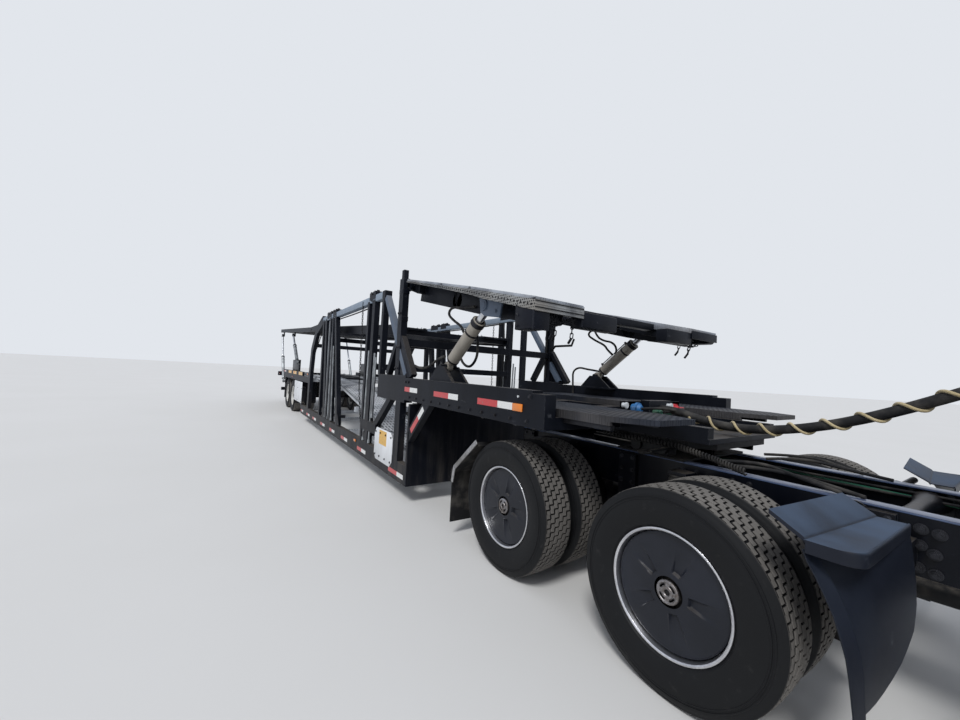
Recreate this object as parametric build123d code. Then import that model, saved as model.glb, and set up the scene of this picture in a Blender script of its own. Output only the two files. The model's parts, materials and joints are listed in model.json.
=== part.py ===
from build123d import *
import os
from math import cos, hypot, pi, radians, sin, tan

# Articulated car transporter: a sleeper tractor and a high-mount car-hauler semi-trailer.
# Millimetres. +X forward, +Y to the truck's left, +Z up, origin on the ground under the box centre.
# Stations along the truck are measured forward from the front drive axle, and DRIVE_X turns one
# into a part coordinate.

os.makedirs("parts", exist_ok=True)

# Driving dimensions
LENGTH = 22860
FRONT_END = 6600
DRIVE_X = LENGTH / 2 - FRONT_END
REAR_END = FRONT_END - LENGTH
HALF_WIDTH = 1290

# Wheels and tyres
TYRE_R = 495
BEAD_R = 291
LIP_R = 298.5
RIM_HALF = 118
AXLE_Z = TYRE_R
OUTER_TYRE_Y = 1079.5
INNER_TYRE_Y = 736.5
DUAL_DISC_Y = 908
SPINDLE_R = 45
STEER_SPINDLE_R = 35
RUN_FIT = 0.05
STEER_TYRE_Y = 1040
STEER_PIN_Y = 880
STEER_PIN_R = 18
COVER_R = 284

FRONT_AXLE = 5350
DRIVE_AXLES = (0, -1320)
TRAILER_AXLES = (-12500, -13700)

# Tractor frame
RAIL_OUT = 432
RAIL_IN = 342
RAIL_TOP = 985
RAIL_DEPTH = 270
RAIL_WALL = 12
RAIL_REAR = -2000
RAIL_FRONT = 6000
CROSS_STATIONS = (-1880, 1900, 3100, 5900)
TUBE_STATION = 640

# Kingpin and fifth wheel
KINGPIN = -600
KINGPIN_R = 25.4
PLATE_Z = 1136
PLATE_GAP = 1
KINGPIN_LENGTH = 84

# Cab, sleeper and hood
CAB_HALF = 1180
WALL = 60
SLEEPER_REAR = 1600
CAB_REAR = 3300
COWL = 4600
FLOOR_Z = 1130
ROOF_Z = 2900
CAB_ROOF_Z = 2680
WINDSCREEN_TOP = 4080
COWL_Z = 1930
DOOR_REAR = 3460
DOOR_FRONT = 4440
DOOR_LOW = 1165
DOOR_TOP = 2440
PANEL_GAP = 8
HOOD_REAR = 4612
HOOD_NOSE = 6490
HOOD_LOW = 870
HOOD_WALL = 40
ARCH_R = 615

# Trailer
BEAM_Y0 = 1190
BEAM_LOW = 1155
BEAM_TOP = 1390
BEAM_FRONT = -930
NOSE = -800
BULKHEAD = -2970
SILL_LOW = 200
SILL_TOP = 420
SILL_Y0 = 1210
TOP_RAIL_Z = (2480, 2575)
TRUSS_Y0 = 1210
SILL_REAR = -10200
BUFFER = 22

# Head ramp, hinged on the masts
RAMP_PIVOT = (-3380, 2545)
RAMP_EYE = (-1700, 2100)
RAMP_BASE = (-2380, 1560)
RAMP_CYL_Y = 1150

# Upper decks
MID_PIVOT = (-8080, 2330)
MID_FRONT = (-4250, 2075)
REAR_PIVOT = (-9450, 2400)
REAR_TAIL = (-16250, 2800)
REAR_EYE = (-16000, 2620)
REAR_BASE = (-14750, 850)
PROP_EYE = (-13050, 2470)
PROP_BASE = (-11750, 1560)
DECK_CYL_Y = 1240


def part_x(station):
    return station + DRIVE_X


def block(x0, x1, y0, y1, z0, z1):
    """A box between two stations, two sides and two heights."""
    centre = Pos(part_x((x0 + x1) / 2), (y0 + y1) / 2, (z0 + z1) / 2)
    return centre * Box(abs(x1 - x0), abs(y1 - y0), abs(z1 - z0))


def side_plate(points, y0, y1):
    """A side-view outline of (station, height) points, carried from y0 to y1."""
    corners = [(part_x(x), y0, z) for x, z in points]
    face = make_face(Polyline(*corners, close=True))
    return extrude(face, amount=y1 - y0, dir=(0, 1, 0))


def top_plate(points, z0, z1):
    """A plan outline of (station, y) points, carried from z0 to z1."""
    corners = [(part_x(x), y, z0) for x, y in points]
    face = make_face(Polyline(*corners, close=True))
    return extrude(face, amount=z1 - z0, dir=(0, 0, 1))


def end_plate(points, x0, x1):
    """A front-view outline of (y, height) points, carried from station x0 to x1."""
    corners = [(part_x(x0), y, z) for y, z in points]
    face = make_face(Polyline(*corners, close=True))
    return extrude(face, amount=x1 - x0, dir=(1, 0, 0))


def strut(p, q, width, y0, y1):
    """A flat bar of that width in side view, from p to q, both (station, height)."""
    run = hypot(q[0] - p[0], q[1] - p[1])
    nx = -(q[1] - p[1]) / run * width / 2
    nz = (q[0] - p[0]) / run * width / 2
    outline = [(p[0] + nx, p[1] + nz), (q[0] + nx, q[1] + nz)]
    outline += [(q[0] - nx, q[1] - nz), (p[0] - nx, p[1] - nz)]
    return side_plate(outline, y0, y1)


def chain_of_struts(points, width, y0, y1):
    """Struts along a line of (station, height) points, with round joints between them."""
    shape = Part()
    for p, q in zip(points, points[1:]):
        shape += strut(p, q, width, y0, y1)
    for p in points[1:-1]:
        shape += bar((p[0], y0, p[1]), (p[0], y1, p[1]), width / 2)
    return shape


def bar(p, q, radius):
    """A round bar between two (station, y, height) points."""
    start = Vector(part_x(p[0]), p[1], p[2])
    end = Vector(part_x(q[0]), q[1], q[2])
    middle = (start + end) * 0.5
    length = (end - start).length
    return Plane(origin=middle, z_dir=end - start) * Cylinder(radius, length)


def lathe(profile, station, height):
    """A closed (y, radius) profile turned about a cross-wise axis."""
    x = part_x(station)
    face = make_face(Polyline(*[(x, y, height + r) for y, r in profile], close=True))
    return revolve(face, Axis((x, 0, height), (0, 1, 0)), 360)


def flipped(shape):
    return mirror(shape, about=Plane.XZ)


def both(shape):
    """The shape and its mirror image on the other side of the truck."""
    return Part() + [shape, flipped(shape)]


def save(name, shape):
    solids = shape.solids()
    export_step(Compound(solids) if len(solids) > 1 else solids[0], "parts/" + name + ".step")


# Tyres, as (offset across the tyre, radius)
TYRE_PROFILE = [
    (-100, BEAD_R), (-114, 306), (-134, 360), (-140, 405), (-134, 447), (-122, 476), (-104, 491),
    (-80, TYRE_R), (80, TYRE_R), (104, 491), (122, 476), (134, 447), (140, 405), (134, 360),
    (114, 306), (100, BEAD_R),
]


def tyre(station, y):
    return lathe([(y + dy, r) for dy, r in TYRE_PROFILE], station, AXLE_Z)


def rim_section(y):
    """The outline of a rim's outer side, from its inboard lip to its outboard lip."""
    lip = [(y - RIM_HALF, LIP_R), (y - RIM_HALF + 9, LIP_R), (y - RIM_HALF + 12, BEAD_R)]
    return lip + [(y + RIM_HALF - 12, BEAD_R), (y + RIM_HALF - 9, LIP_R), (y + RIM_HALF, LIP_R)]


def dual_wheel(station, covered):
    """Two rims on one hub with the brake drum, on the left side."""
    bore = SPINDLE_R + RUN_FIT
    outer = rim_section(OUTER_TYRE_Y)
    inner = rim_section(INNER_TYRE_Y)
    face = OUTER_TYRE_Y + RIM_HALF
    back = INNER_TYRE_Y - RIM_HALF
    hub = [(face - 40, 95), (face - 34, 60), (1150, bore), (646, bore), (646, 210)]
    drum = [(842, 210), (842, 130), (878, 130), (878, 235)]
    profile = [(back, 280)] + inner + [(INNER_TYRE_Y + RIM_HALF, 284), (DUAL_DISC_Y - 26, 262)]
    profile += [(DUAL_DISC_Y + 26, 262), (OUTER_TYRE_Y - RIM_HALF, 284)] + outer
    profile += [(face, 284), (OUTER_TYRE_Y - 96, 278), (DUAL_DISC_Y + 24, 240), (DUAL_DISC_Y + 24, 120)]
    profile += hub + drum + [(INNER_TYRE_Y + 96, 278), (back, 280)]
    profile = profile[:-1]
    wheel = lathe(profile, station, AXLE_Z)
    cap = lathe([(face - 34, 60), (1150, bore), (1150, 0.01), (face - 34, 0.01)], station, AXLE_Z)
    wheel += cap
    if covered:
        dish = [(face - 24, COVER_R), (face - 18, COVER_R), (face - 8, 250), (face - 2, 190), (face + 2, 70)]
        dish += [(face + 16, 62), (face + 16, 0.01), (face - 34, 0.01), (face - 34, 60), (face - 12, 190)]
        dish += [(face - 20, 250)]
        wheel += lathe(dish, station, AXLE_Z)
    return wheel


def steer_wheel(station):
    """A single dished-out rim with hub and brake drum, on the left side."""
    bore = STEER_SPINDLE_R + RUN_FIT
    y = STEER_TYRE_Y
    face = y + RIM_HALF
    profile = [(y - RIM_HALF, 280)] + rim_section(y)
    profile += [(face, 284), (y + 90, 278), (y + 70, 235), (y + 70, 120), (face + 2, 95), (face + 20, 60)]
    profile += [(face + 20, 0.01), (1106, 0.01), (1106, bore), (962, bore), (962, 205)]
    profile += [(y + 20, 205), (y + 46, 235), (y + 60, 278)]
    return lathe(profile, station, AXLE_Z)


SIDES = {"left": False, "right": True}


def make_wheels():
    """All ten rolling bodies, a tyre node and a wheel node each."""
    rows = [("front", FRONT_AXLE, "steer")]
    rows += [("drive_%d" % (i + 1), x, "covered") for i, x in enumerate(DRIVE_AXLES)]
    rows += [("trailer_%d" % (i + 1), x, "plain") for i, x in enumerate(TRAILER_AXLES)]
    for name, station, kind in rows:
        if kind == "steer":
            tyres = tyre(station, STEER_TYRE_Y)
            wheel = steer_wheel(station)
        else:
            tyres = Part() + [tyre(station, OUTER_TYRE_Y), tyre(station, INNER_TYRE_Y)]
            wheel = dual_wheel(station, kind == "covered")
        for side, turned in SIDES.items():
            save("tyre_%s_%s" % (name, side), flipped(tyres) if turned else tyres)
            save("wheel_%s_%s" % (name, side), flipped(wheel) if turned else wheel)


def make_knuckles():
    """Forked steering knuckles on the front axle's king pins."""
    pin = (FRONT_AXLE, STEER_PIN_Y)
    shape = block(FRONT_AXLE - 50, FRONT_AXLE + 50, 835, 950, 398, 428)
    shape += block(FRONT_AXLE - 50, FRONT_AXLE + 50, 835, 950, 562, 592)
    shape += block(FRONT_AXLE - 60, FRONT_AXLE + 60, 928, 956, 380, 610)
    shape += bar((pin[0], pin[1], 400), (pin[0], pin[1], 590), STEER_PIN_R - RUN_FIT)
    shape += bar((FRONT_AXLE, 940, AXLE_Z), (FRONT_AXLE, 1100, AXLE_Z), STEER_SPINDLE_R)
    shape += block(FRONT_AXLE - 260, FRONT_AXLE - 40, 850, 890, 402, 424)
    save("knuckle_left", shape)
    save("knuckle_right", flipped(shape))


def make_tractor_frame():
    """Two channel rails, their cross-members and the rear end plate."""
    low = RAIL_TOP - RAIL_DEPTH
    rail = block(RAIL_REAR, RAIL_FRONT, RAIL_IN, RAIL_OUT, low, RAIL_TOP)
    rail -= block(RAIL_REAR, RAIL_FRONT, RAIL_IN, RAIL_OUT - RAIL_WALL, low + RAIL_WALL, RAIL_TOP - RAIL_WALL)
    frame = both(rail)
    web = RAIL_OUT - RAIL_WALL
    for x in CROSS_STATIONS:
        frame += block(x - 6, x + 6, -web, web, low + RAIL_WALL, RAIL_TOP - RAIL_WALL)
        frame += block(x - 50, x + 50, -web, web, low + RAIL_WALL, low + 2 * RAIL_WALL)
        frame += block(x - 50, x + 50, -web, web, RAIL_TOP - 2 * RAIL_WALL, RAIL_TOP - RAIL_WALL)
    # A round cross-member between plates, ahead of the drive tyres
    frame += bar((TUBE_STATION, -web, 905), (TUBE_STATION, web, 905), 32)
    frame += both(block(TUBE_STATION - 90, TUBE_STATION + 90, web - 12, web, 760, 960))
    # Hangers ahead of each drive axle's trailing arms, and the last one behind them
    for x in DRIVE_AXLES:
        frame += both(block(x + 500, x + 640, RAIL_OUT, RAIL_OUT + 38, 330, RAIL_TOP - 20))
    frame += both(block(-1950, -1810, RAIL_OUT, RAIL_OUT + 30, 640, RAIL_TOP - 20))
    frame += both(block(FRONT_AXLE + 560, FRONT_AXLE + 640, RAIL_OUT, RAIL_OUT + 38, 620, RAIL_TOP - 60))
    frame += both(block(FRONT_AXLE - 720, FRONT_AXLE - 640, RAIL_OUT, RAIL_OUT + 38, 620, RAIL_TOP - 60))
    frame += both(block(5900, 6400, RAIL_OUT - RAIL_WALL - 40, RAIL_OUT - RAIL_WALL, 500, 800))
    # Brackets that carry the quarter fenders and the cab
    frame += both(block(620, 700, RAIL_OUT, FENDER_Y0, 760, 880))
    for x in (2400, 4300):
        frame += both(block(x - 60, x + 60, RAIL_OUT - 60, RAIL_OUT, RAIL_TOP, FLOOR_Z - 40))
    save("tractor_frame", frame)


def make_axles():
    """The front beam with its leaf springs, and two drive housings with air springs."""
    beam = block(FRONT_AXLE - 45, FRONT_AXLE + 45, -560, 560, 330, 430)
    for side in (1, -1):
        beam += end_plate([(side * 540, 330), (side * 540, 430), (side * 780, 556), (side * 838, 556),
                           (side * 838, 434), (side * 700, 400)], FRONT_AXLE - 45, FRONT_AXLE + 45)
        beam += bar((FRONT_AXLE, side * STEER_PIN_Y, 434), (FRONT_AXLE, side * STEER_PIN_Y, 556), 48)
        beam += block(FRONT_AXLE - 40, FRONT_AXLE + 40, side * 820, side * 850, 434, 556)
        beam -= bar((FRONT_AXLE, side * STEER_PIN_Y, 430), (FRONT_AXLE, side * STEER_PIN_Y, 560), STEER_PIN_R)
        spring = chain_of_struts([(FRONT_AXLE - 680, 640), (FRONT_AXLE - 350, 520), (FRONT_AXLE, 448),
                                  (FRONT_AXLE + 350, 520), (FRONT_AXLE + 600, 640)], 60,
                                 side * 470, side * 550)
        beam += spring
    shape = beam
    for x in DRIVE_AXLES:
        for side in (1, -1):
            shape += bar((x, side * 180, AXLE_Z), (x, side * 642, AXLE_Z), 70)
            shape += bar((x, side * 640, AXLE_Z), (x, side * 1146, AXLE_Z), SPINDLE_R)
            shape += block(x - 420, x + 620, side * 470, side * 560, AXLE_Z - 150, AXLE_Z - 60)
            shape += block(x - 60, x + 60, side * 470, side * 560, AXLE_Z - 100, AXLE_Z + 80)
            shape += bar((x - 320, side * 515, AXLE_Z - 70), (x - 320, side * 515, RAIL_TOP - 60), 44)
            shape += block(x - 380, x - 260, side * RAIL_OUT, side * 560, RAIL_TOP - 70, RAIL_TOP - 50)
        shape += bar((x, -185, AXLE_Z), (x, 185, AXLE_Z), 190)
        shape += bar((x, 0, AXLE_Z + 20), (x + 270, 0, AXLE_Z + 20), 110)
    save("tractor_axles", shape)


def make_powertrain():
    """A plain engine and gearbox mass with the drive shafts behind it."""
    engine = block(4640, 5700, -320, 320, 640, 1480)
    engine -= block(FRONT_AXLE - 60, FRONT_AXLE + 60, -330, 330, 600, 650)
    engine += block(3450, 4640, -230, 230, 580, 980)
    shafts = bar((3455, 0, 650), (274, 0, AXLE_Z + 22), 50)
    shafts += bar((-194, 0, AXLE_Z + 40), (-1046, 0, AXLE_Z + 22), 46)
    save("powertrain", engine + shafts)


def make_fifth_wheel():
    """The coupling plate with its rear throat, on a bracket between the rails."""
    top = PLATE_Z - PLATE_GAP
    outline = [(KINGPIN + 430, -360), (KINGPIN + 430, 360), (KINGPIN + 300, 470), (KINGPIN - 150, 470),
               (KINGPIN - 520, 300), (KINGPIN - 520, 120), (KINGPIN - 180, 45), (KINGPIN - 180, -45),
               (KINGPIN - 520, -120), (KINGPIN - 520, -300), (KINGPIN - 150, -470), (KINGPIN + 300, -470)]
    plate = top_plate(outline, top - 45, top)
    plate += both(block(KINGPIN - 130, KINGPIN + 130, 300, 420, RAIL_TOP + 14, top - 45))
    plate += block(KINGPIN - 260, KINGPIN + 260, -440, 440, RAIL_TOP, RAIL_TOP + 14)
    plate += block(KINGPIN - 100, KINGPIN + 100, -100, 100, top - 100, top - 45)
    plate -= bar((KINGPIN, 0, top - 110), (KINGPIN, 0, top + 5), KINGPIN_R + RUN_FIT)
    save("fifth_wheel", plate)


SLEEPER_OUTLINE = [(SLEEPER_REAR, FLOOR_Z), (SLEEPER_REAR, 2760), (SLEEPER_REAR + 120, ROOF_Z),
                   (3000, ROOF_Z), (CAB_REAR, 2860), (CAB_REAR, FLOOR_Z)]
CAB_OUTLINE = [(CAB_REAR, FLOOR_Z), (CAB_REAR, 2860), (3700, 2800), (WINDSCREEN_TOP, CAB_ROOF_Z),
               (COWL, COWL_Z), (COWL, FLOOR_Z)]


def inset(points, by, keep_rear, keep_front):
    """The outline moved in by a wall's thickness, about its middle, for a hollow body."""
    xs = [p[0] for p in points]
    zs = [p[1] for p in points]
    x0, x1 = min(xs), max(xs)
    z0, z1 = min(zs), max(zs)
    rear = 0 if keep_rear else by
    front = 0 if keep_front else by
    moved = []
    for x, z in points:
        nx = x0 + rear + (x - x0) * (x1 - x0 - rear - front) / (x1 - x0)
        nz = z0 + by + (z - z0) * (z1 - z0 - 2 * by) / (z1 - z0)
        moved.append((nx, nz))
    return moved


def body_section(half, low, high, radius):
    """Front-view outline of the cab, square below and rounded along the roof edges."""
    points = [(-half, low), (half, low)]
    for i in range(5):
        a = radians(90 * i / 4)
        points.append((half - radius + radius * cos(a), high - radius + radius * sin(a)))
    for i in range(5):
        a = radians(90 + 90 * i / 4)
        points.append((-half + radius + radius * cos(a), high - radius + radius * sin(a)))
    return points


def hollow_body(outline, open_rear, open_front):
    """A closed shell from a side outline and the rounded cab section."""
    x0 = min(p[0] for p in outline)
    x1 = max(p[0] for p in outline)
    outer = side_plate(outline, -CAB_HALF, CAB_HALF)
    outer = outer & end_plate(body_section(CAB_HALF, FLOOR_Z - 1, ROOF_Z + 1, 190), x0 - 1, x1 + 1)
    inner_half = CAB_HALF - WALL
    inner = side_plate(inset(outline, WALL, open_rear, open_front), -inner_half, inner_half)
    section = body_section(inner_half, FLOOR_Z, ROOF_Z - WALL, 160)
    inner = inner & end_plate(section, x0 - 1, x1 + 1)
    return outer - inner


WINDOW_LOW = 1720
WINDOW_TOP = 2360
DOOR_WINDOW = [(DOOR_REAR + 90, WINDOW_LOW), (DOOR_REAR + 90, WINDOW_TOP), (DOOR_FRONT - 420, WINDOW_TOP),
               (DOOR_FRONT - 130, 1960), (DOOR_FRONT - 110, WINDOW_LOW)]
DOOR_OUTLINE = [(DOOR_REAR, DOOR_LOW), (DOOR_REAR, DOOR_TOP), (DOOR_FRONT - 430, DOOR_TOP),
                (DOOR_FRONT - 40, 1960), (DOOR_FRONT, 1880), (DOOR_FRONT, DOOR_LOW)]


SCREEN_DX = COWL - WINDSCREEN_TOP
SCREEN_DZ = CAB_ROOF_Z - COWL_Z
SCREEN_LENGTH = hypot(SCREEN_DX, SCREEN_DZ)


def screen_point(along, depth):
    """A point on the windscreen's slope: along from the cowl upward, depth inward."""
    ux, uz = -SCREEN_DX / SCREEN_LENGTH, SCREEN_DZ / SCREEN_LENGTH
    return (COWL + ux * along - uz * depth, COWL_Z + uz * along + ux * depth)


def screen_panel(along0, along1, depth0, depth1, half):
    corners = [screen_point(along0, depth0), screen_point(along1, depth0),
               screen_point(along1, depth1), screen_point(along0, depth1)]
    return side_plate(corners, -half, half)


def make_cab():
    """Cab shell with door and window openings, and the glass that fills them."""
    cab = hollow_body(CAB_OUTLINE, True, False)
    corners = [(part_x(x), CAB_HALF - WALL - 1, z) for x, z in DOOR_OUTLINE]
    opening = offset(make_face(Polyline(*corners, close=True)), PANEL_GAP, kind=Kind.INTERSECTION)
    cab -= both(extrude(opening, amount=WALL + 2, dir=(0, 1, 0)))
    cab -= screen_panel(70, SCREEN_LENGTH - 60, -60, 200, 980)
    save("cab_shell", cab)

    sleeper = hollow_body(SLEEPER_OUTLINE, False, True)
    sleeper -= both(block(2350, 2850, CAB_HALF - WALL - 1, CAB_HALF + 1, 1900, 2250))
    save("sleeper_shell", sleeper)

    glass = screen_panel(71, SCREEN_LENGTH - 61, 12, 20, 979)
    glass += both(block(2351, 2849, CAB_HALF - 34, CAB_HALF - 26, 1901, 2249))
    save("cab_glass", glass)


def make_doors():
    door = side_plate(DOOR_OUTLINE, CAB_HALF - WALL, CAB_HALF)
    door -= side_plate(DOOR_WINDOW, CAB_HALF - WALL - 1, CAB_HALF + 1)
    door += block(DOOR_REAR + 60, DOOR_REAR + 220, CAB_HALF, CAB_HALF + 22, 1560, 1600)
    glass = side_plate(DOOR_WINDOW, CAB_HALF - 36, CAB_HALF - 28)
    save("door_left", door)
    save("door_right", flipped(door))
    save("door_glass_left", glass)
    save("door_glass_right", flipped(glass))


def make_interior():
    """Two seats, the dashboard with its wheel, and the bunk in the sleeper."""
    floor = FLOOR_Z + WALL
    shape = Part()
    for y in (520, -520):
        shape += block(3560, 4040, y - 200, y + 200, floor, floor + 260)
        shape += block(3500, 4080, y - 260, y + 260, floor + 260, floor + 400)
        shape += side_plate([(3420, floor + 400), (3560, floor + 400), (3440, floor + 1100),
                             (3320, floor + 1100)], y - 250, y + 250)
    shape += block(SLEEPER_REAR + 100, 2500, -1080, 1080, floor, floor + 420)
    save("cab_seats", shape)

    dash = side_plate([(4300, floor + 300), (4530, floor + 300), (4530, floor + 680), (4400, floor + 690),
                       (4270, floor + 600)], -1100, 1100)
    dash += bar((4300, 520, floor + 560), (4130, 520, floor + 660), 26)
    ring = Plane(origin=(part_x(4130), 520, floor + 660), z_dir=(-170, 0, 100)) * Torus(220, 16)
    spoke = Plane(origin=(part_x(4130), 520, floor + 660), z_dir=(-170, 0, 100)) * Box(40, 430, 16)
    save("dashboard", dash + ring + spoke)


def make_hood():
    """A tilting hood with open wheel arches, its grille and headlamps."""
    side = [(HOOD_REAR, HOOD_LOW - 170), (HOOD_REAR, COWL_Z + 10), (5300, 1860), (6150, 1640), (6380, 1480),
            (HOOD_NOSE, 1200), (HOOD_NOSE, HOOD_LOW), (FRONT_AXLE + 500, HOOD_LOW),
            (FRONT_AXLE, HOOD_LOW - 170)]
    plan = [(HOOD_REAR - 5, -1160), (FRONT_AXLE + 300, -1190), (6250, -1120), (HOOD_NOSE + 5, -820),
            (HOOD_NOSE + 5, 820), (6250, 1120), (FRONT_AXLE + 300, 1190), (HOOD_REAR - 5, 1160)]
    # Front view: fenders low and wide, engine cover high and narrow
    front = [(-1200, 600), (-1200, 1290), (-1080, 1400), (-860, 1440), (-700, 1900), (-560, 1990),
             (560, 1990), (700, 1900), (860, 1440), (1080, 1400), (1200, 1290), (1200, 600)]
    low = 600
    outer = side_plate(side, -1200, 1200) & top_plate(plan, low, 2000)
    outer = outer & end_plate(front, HOOD_REAR - 5, HOOD_NOSE + 5)
    in_side = [(HOOD_REAR - 5, 590), (HOOD_REAR - 5, COWL_Z - HOOD_WALL), (5300, 1860 - HOOD_WALL),
               (6130, 1640 - HOOD_WALL), (6350, 1460), (HOOD_NOSE - HOOD_WALL, 1190),
               (HOOD_NOSE - HOOD_WALL, 590)]
    in_plan = [(HOOD_REAR - 6, -1120), (FRONT_AXLE + 300, -1150), (6220, -1085), (HOOD_NOSE, -780),
               (HOOD_NOSE, 780), (6220, 1085), (FRONT_AXLE + 300, 1150), (HOOD_REAR - 6, 1120)]
    in_front = [(-1165, 580), (-1165, 1265), (-1060, 1362), (-835, 1400), (-672, 1870), (-545, 1950),
                (545, 1950), (672, 1870), (835, 1400), (1060, 1362), (1165, 1265), (1165, 580)]
    inner = side_plate(in_side, -1200, 1200) & top_plate(in_plan, 580, 2000)
    inner = inner & end_plate(in_front, HOOD_REAR - 6, HOOD_NOSE)
    hood = outer - inner
    arch = bar((FRONT_AXLE, -1300, AXLE_Z), (FRONT_AXLE, 1300, AXLE_Z), ARCH_R)
    hood -= arch
    hood -= block(6200, HOOD_NOSE + 20, -420, 420, 960, 1400)
    for side_sign in (1, -1):
        hood -= block(6250, HOOD_NOSE + 20, side_sign * 560, side_sign * 860, 1020, 1200)
    save("hood", hood)

    grille = block(HOOD_NOSE - 70, HOOD_NOSE - 50, -418, 418, 962, 1398)
    for i in range(7):
        z = 1000 + 60 * i
        grille += block(HOOD_NOSE - 52, HOOD_NOSE - 20, -418, 418, z, z + 22)
    for y in (-410, 394):
        grille += block(HOOD_NOSE - 52, HOOD_NOSE - 20, y, y + 16, 962, 1398)
    save("grille", grille)

    lamp = block(6330, 6420, 570, 850, 1025, 1195)
    save("headlamps", both(lamp & top_plate(in_plan, 900, 1300)))


def make_bumper():
    outline = [(5990, 1200), (6300, 1180), (6520, 1000), (FRONT_END, 700), (FRONT_END, -700),
               (6520, -1000), (6300, -1180), (5990, -1200), (5990, -1150), (6270, -1130), (6470, -970),
               (6540, -700), (6540, 700), (6470, 970), (6270, 1130), (5990, 1150)]
    bumper = top_plate(outline, 380, 820)
    bumper -= block(6500, FRONT_END + 10, -560, 560, 640, 740)
    bumper += both(block(6400, 6545, RAIL_OUT - RAIL_WALL - 40, RAIL_OUT - RAIL_WALL, 430, 630))
    # Sockets for the two towing pins
    bumper -= both(bar((6300, 640, 520), (6700, 640, 520), 25))
    save("front_bumper", bumper)


def make_tanks():
    """A fuel tank and a step box on each side, hung on the rails."""
    tank = bar((2000, 830, 690), (3350, 830, 690), 310)
    straps = Part()
    for x in (2250, 3100):
        straps += block(x - 35, x + 35, RAIL_OUT, 530, 560, 800)
    steps = block(3480, 4500, 640, 1150, 400, 1040)
    steps -= block(3540, 4440, 1000, 1160, 470, 640)
    steps -= block(3540, 4440, 1000, 1160, 740, 910)
    steps += block(3600, 4400, RAIL_OUT, 645, 740, 900)
    save("tanks_and_steps", both(tank + straps + steps))


FENDER_LINE = [(430, 1052), (545, 984), (695, 979), (712, 935), (720, 860), (730, 680), (722, 425)]
FENDER_Y0 = 635
FENDER_ARC = [(702, 425), (700, 560), (676, 700), (629, 818), (585, 888), (545, 930), (425, 1010)]


def make_fenders():
    """Half fenders ahead of the front drive tyres."""
    inside = [(x - 12, z - 8) for x, z in FENDER_LINE[-2:0:-1]]
    inside = [(FENDER_LINE[-1][0] - 12, FENDER_LINE[-1][1])] + inside + [(424, 1040)]
    fender = side_plate(FENDER_LINE + inside, FENDER_Y0, 1280)
    for y in (FENDER_Y0, 1268):
        fender += side_plate(FENDER_LINE + FENDER_ARC, y, y + 12)
    save("quarter_fenders", both(fender))


def make_mudflaps():
    """Bracket arms and flaps behind the rear drive tyres."""
    flap = block(-2052, -2040, 610, 1230, 130, 560)
    arm = strut((-1700, 900), (-2046, 600), 40, 560, 1230)
    arm += block(-2060, -2032, 600, 1235, 545, 610)
    arm += block(-1995, -1955, RAIL_OUT, 600, 640, 720)
    save("tractor_mudflaps", both(arm + flap))


def make_mirrors():
    """Cowl mirrors on short arms ahead of the doors."""
    arm = block(4500, 4560, CAB_HALF, CAB_HALF + 20, 1570, 1910)
    arm += bar((4530, CAB_HALF + 10, 1880), (4540, 1330, 1910), 18)
    arm += bar((4530, CAB_HALF + 10, 1600), (4540, 1330, 1640), 18)
    head = block(4500, 4590, 1290, 1425, 1580, 2180)
    save("mirrors", both(arm + head))


def make_gooseneck():
    """Side beams, cross-members, kingpin plate and the bulkhead behind them."""
    beam = block(-4100, BEAM_FRONT, BEAM_Y0, HALF_WIDTH, BEAM_LOW, BEAM_TOP)
    beam += block(-4100, -3150, BEAM_Y0, HALF_WIDTH, 1120, 1430)
    beam += block(-3160, BEAM_FRONT, BEAM_Y0, HALF_WIDTH, BEAM_TOP, BEAM_TOP + 20)
    beam += block(BEAM_FRONT, NOSE, BEAM_Y0, HALF_WIDTH, BEAM_LOW, BEAM_TOP)
    shape = both(beam)
    for x0, x1 in ((-900, -800), (-1600, -1500), (-2300, -2200), (-3010, BULKHEAD)):
        shape += block(x0, x1, -BEAM_Y0, BEAM_Y0, BEAM_LOW, 1240)
    for y in (430, -500):
        shape += block(-3010, -160, y, y + 70, BEAM_LOW, 1240)
    shape += block(-1150, -150, -500, 500, PLATE_Z, BEAM_LOW)
    shape += block(-260, -150, -500, 500, BEAM_LOW, 1170)
    shape += bar((KINGPIN, 0, PLATE_Z - KINGPIN_LENGTH), (KINGPIN, 0, PLATE_Z + 10), KINGPIN_R)
    shape += block(-3010, BULKHEAD, -HALF_WIDTH, HALF_WIDTH, SILL_LOW, 1120)
    shape += block(-3010, BULKHEAD, -BEAM_Y0, BEAM_Y0, 1100, BEAM_LOW)
    for side in (1, -1):
        shape += side_plate([(-2600, BEAM_TOP + 20), (-2450, 1560), (-2310, 1560), (-2120, BEAM_TOP + 20)],
                            side * 1215, side * 1250)
        shape += side_plate([(-2600, BEAM_TOP + 20), (-2450, 1560), (-2310, 1560), (-2120, BEAM_TOP + 20)],
                            side * (RAMP_CYL_Y - 62), side * (RAMP_CYL_Y - 85))
        shape += block(-2600, -2120, side * (RAMP_CYL_Y - 90), side * BEAM_Y0, BEAM_TOP, BEAM_TOP + 20)
        shape += bar((RAMP_BASE[0], side * 1250, RAMP_BASE[1]),
                     (RAMP_BASE[0], side * (RAMP_CYL_Y - 85), RAMP_BASE[1]), 24.9)
    shape += both(block(-3110, -3010, 1120, 1200, 420, 1120))
    # Knee braces from the beams down to the bulkhead's edges
    shape += both(strut((-2450, 1280), (-3005, 745), 115, 1215, 1285))
    # The nose bracket that the air and electric lines plug into
    shape += block(-860, -780, -160, 160, 1240, 1360)
    save("gooseneck", shape)


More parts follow.
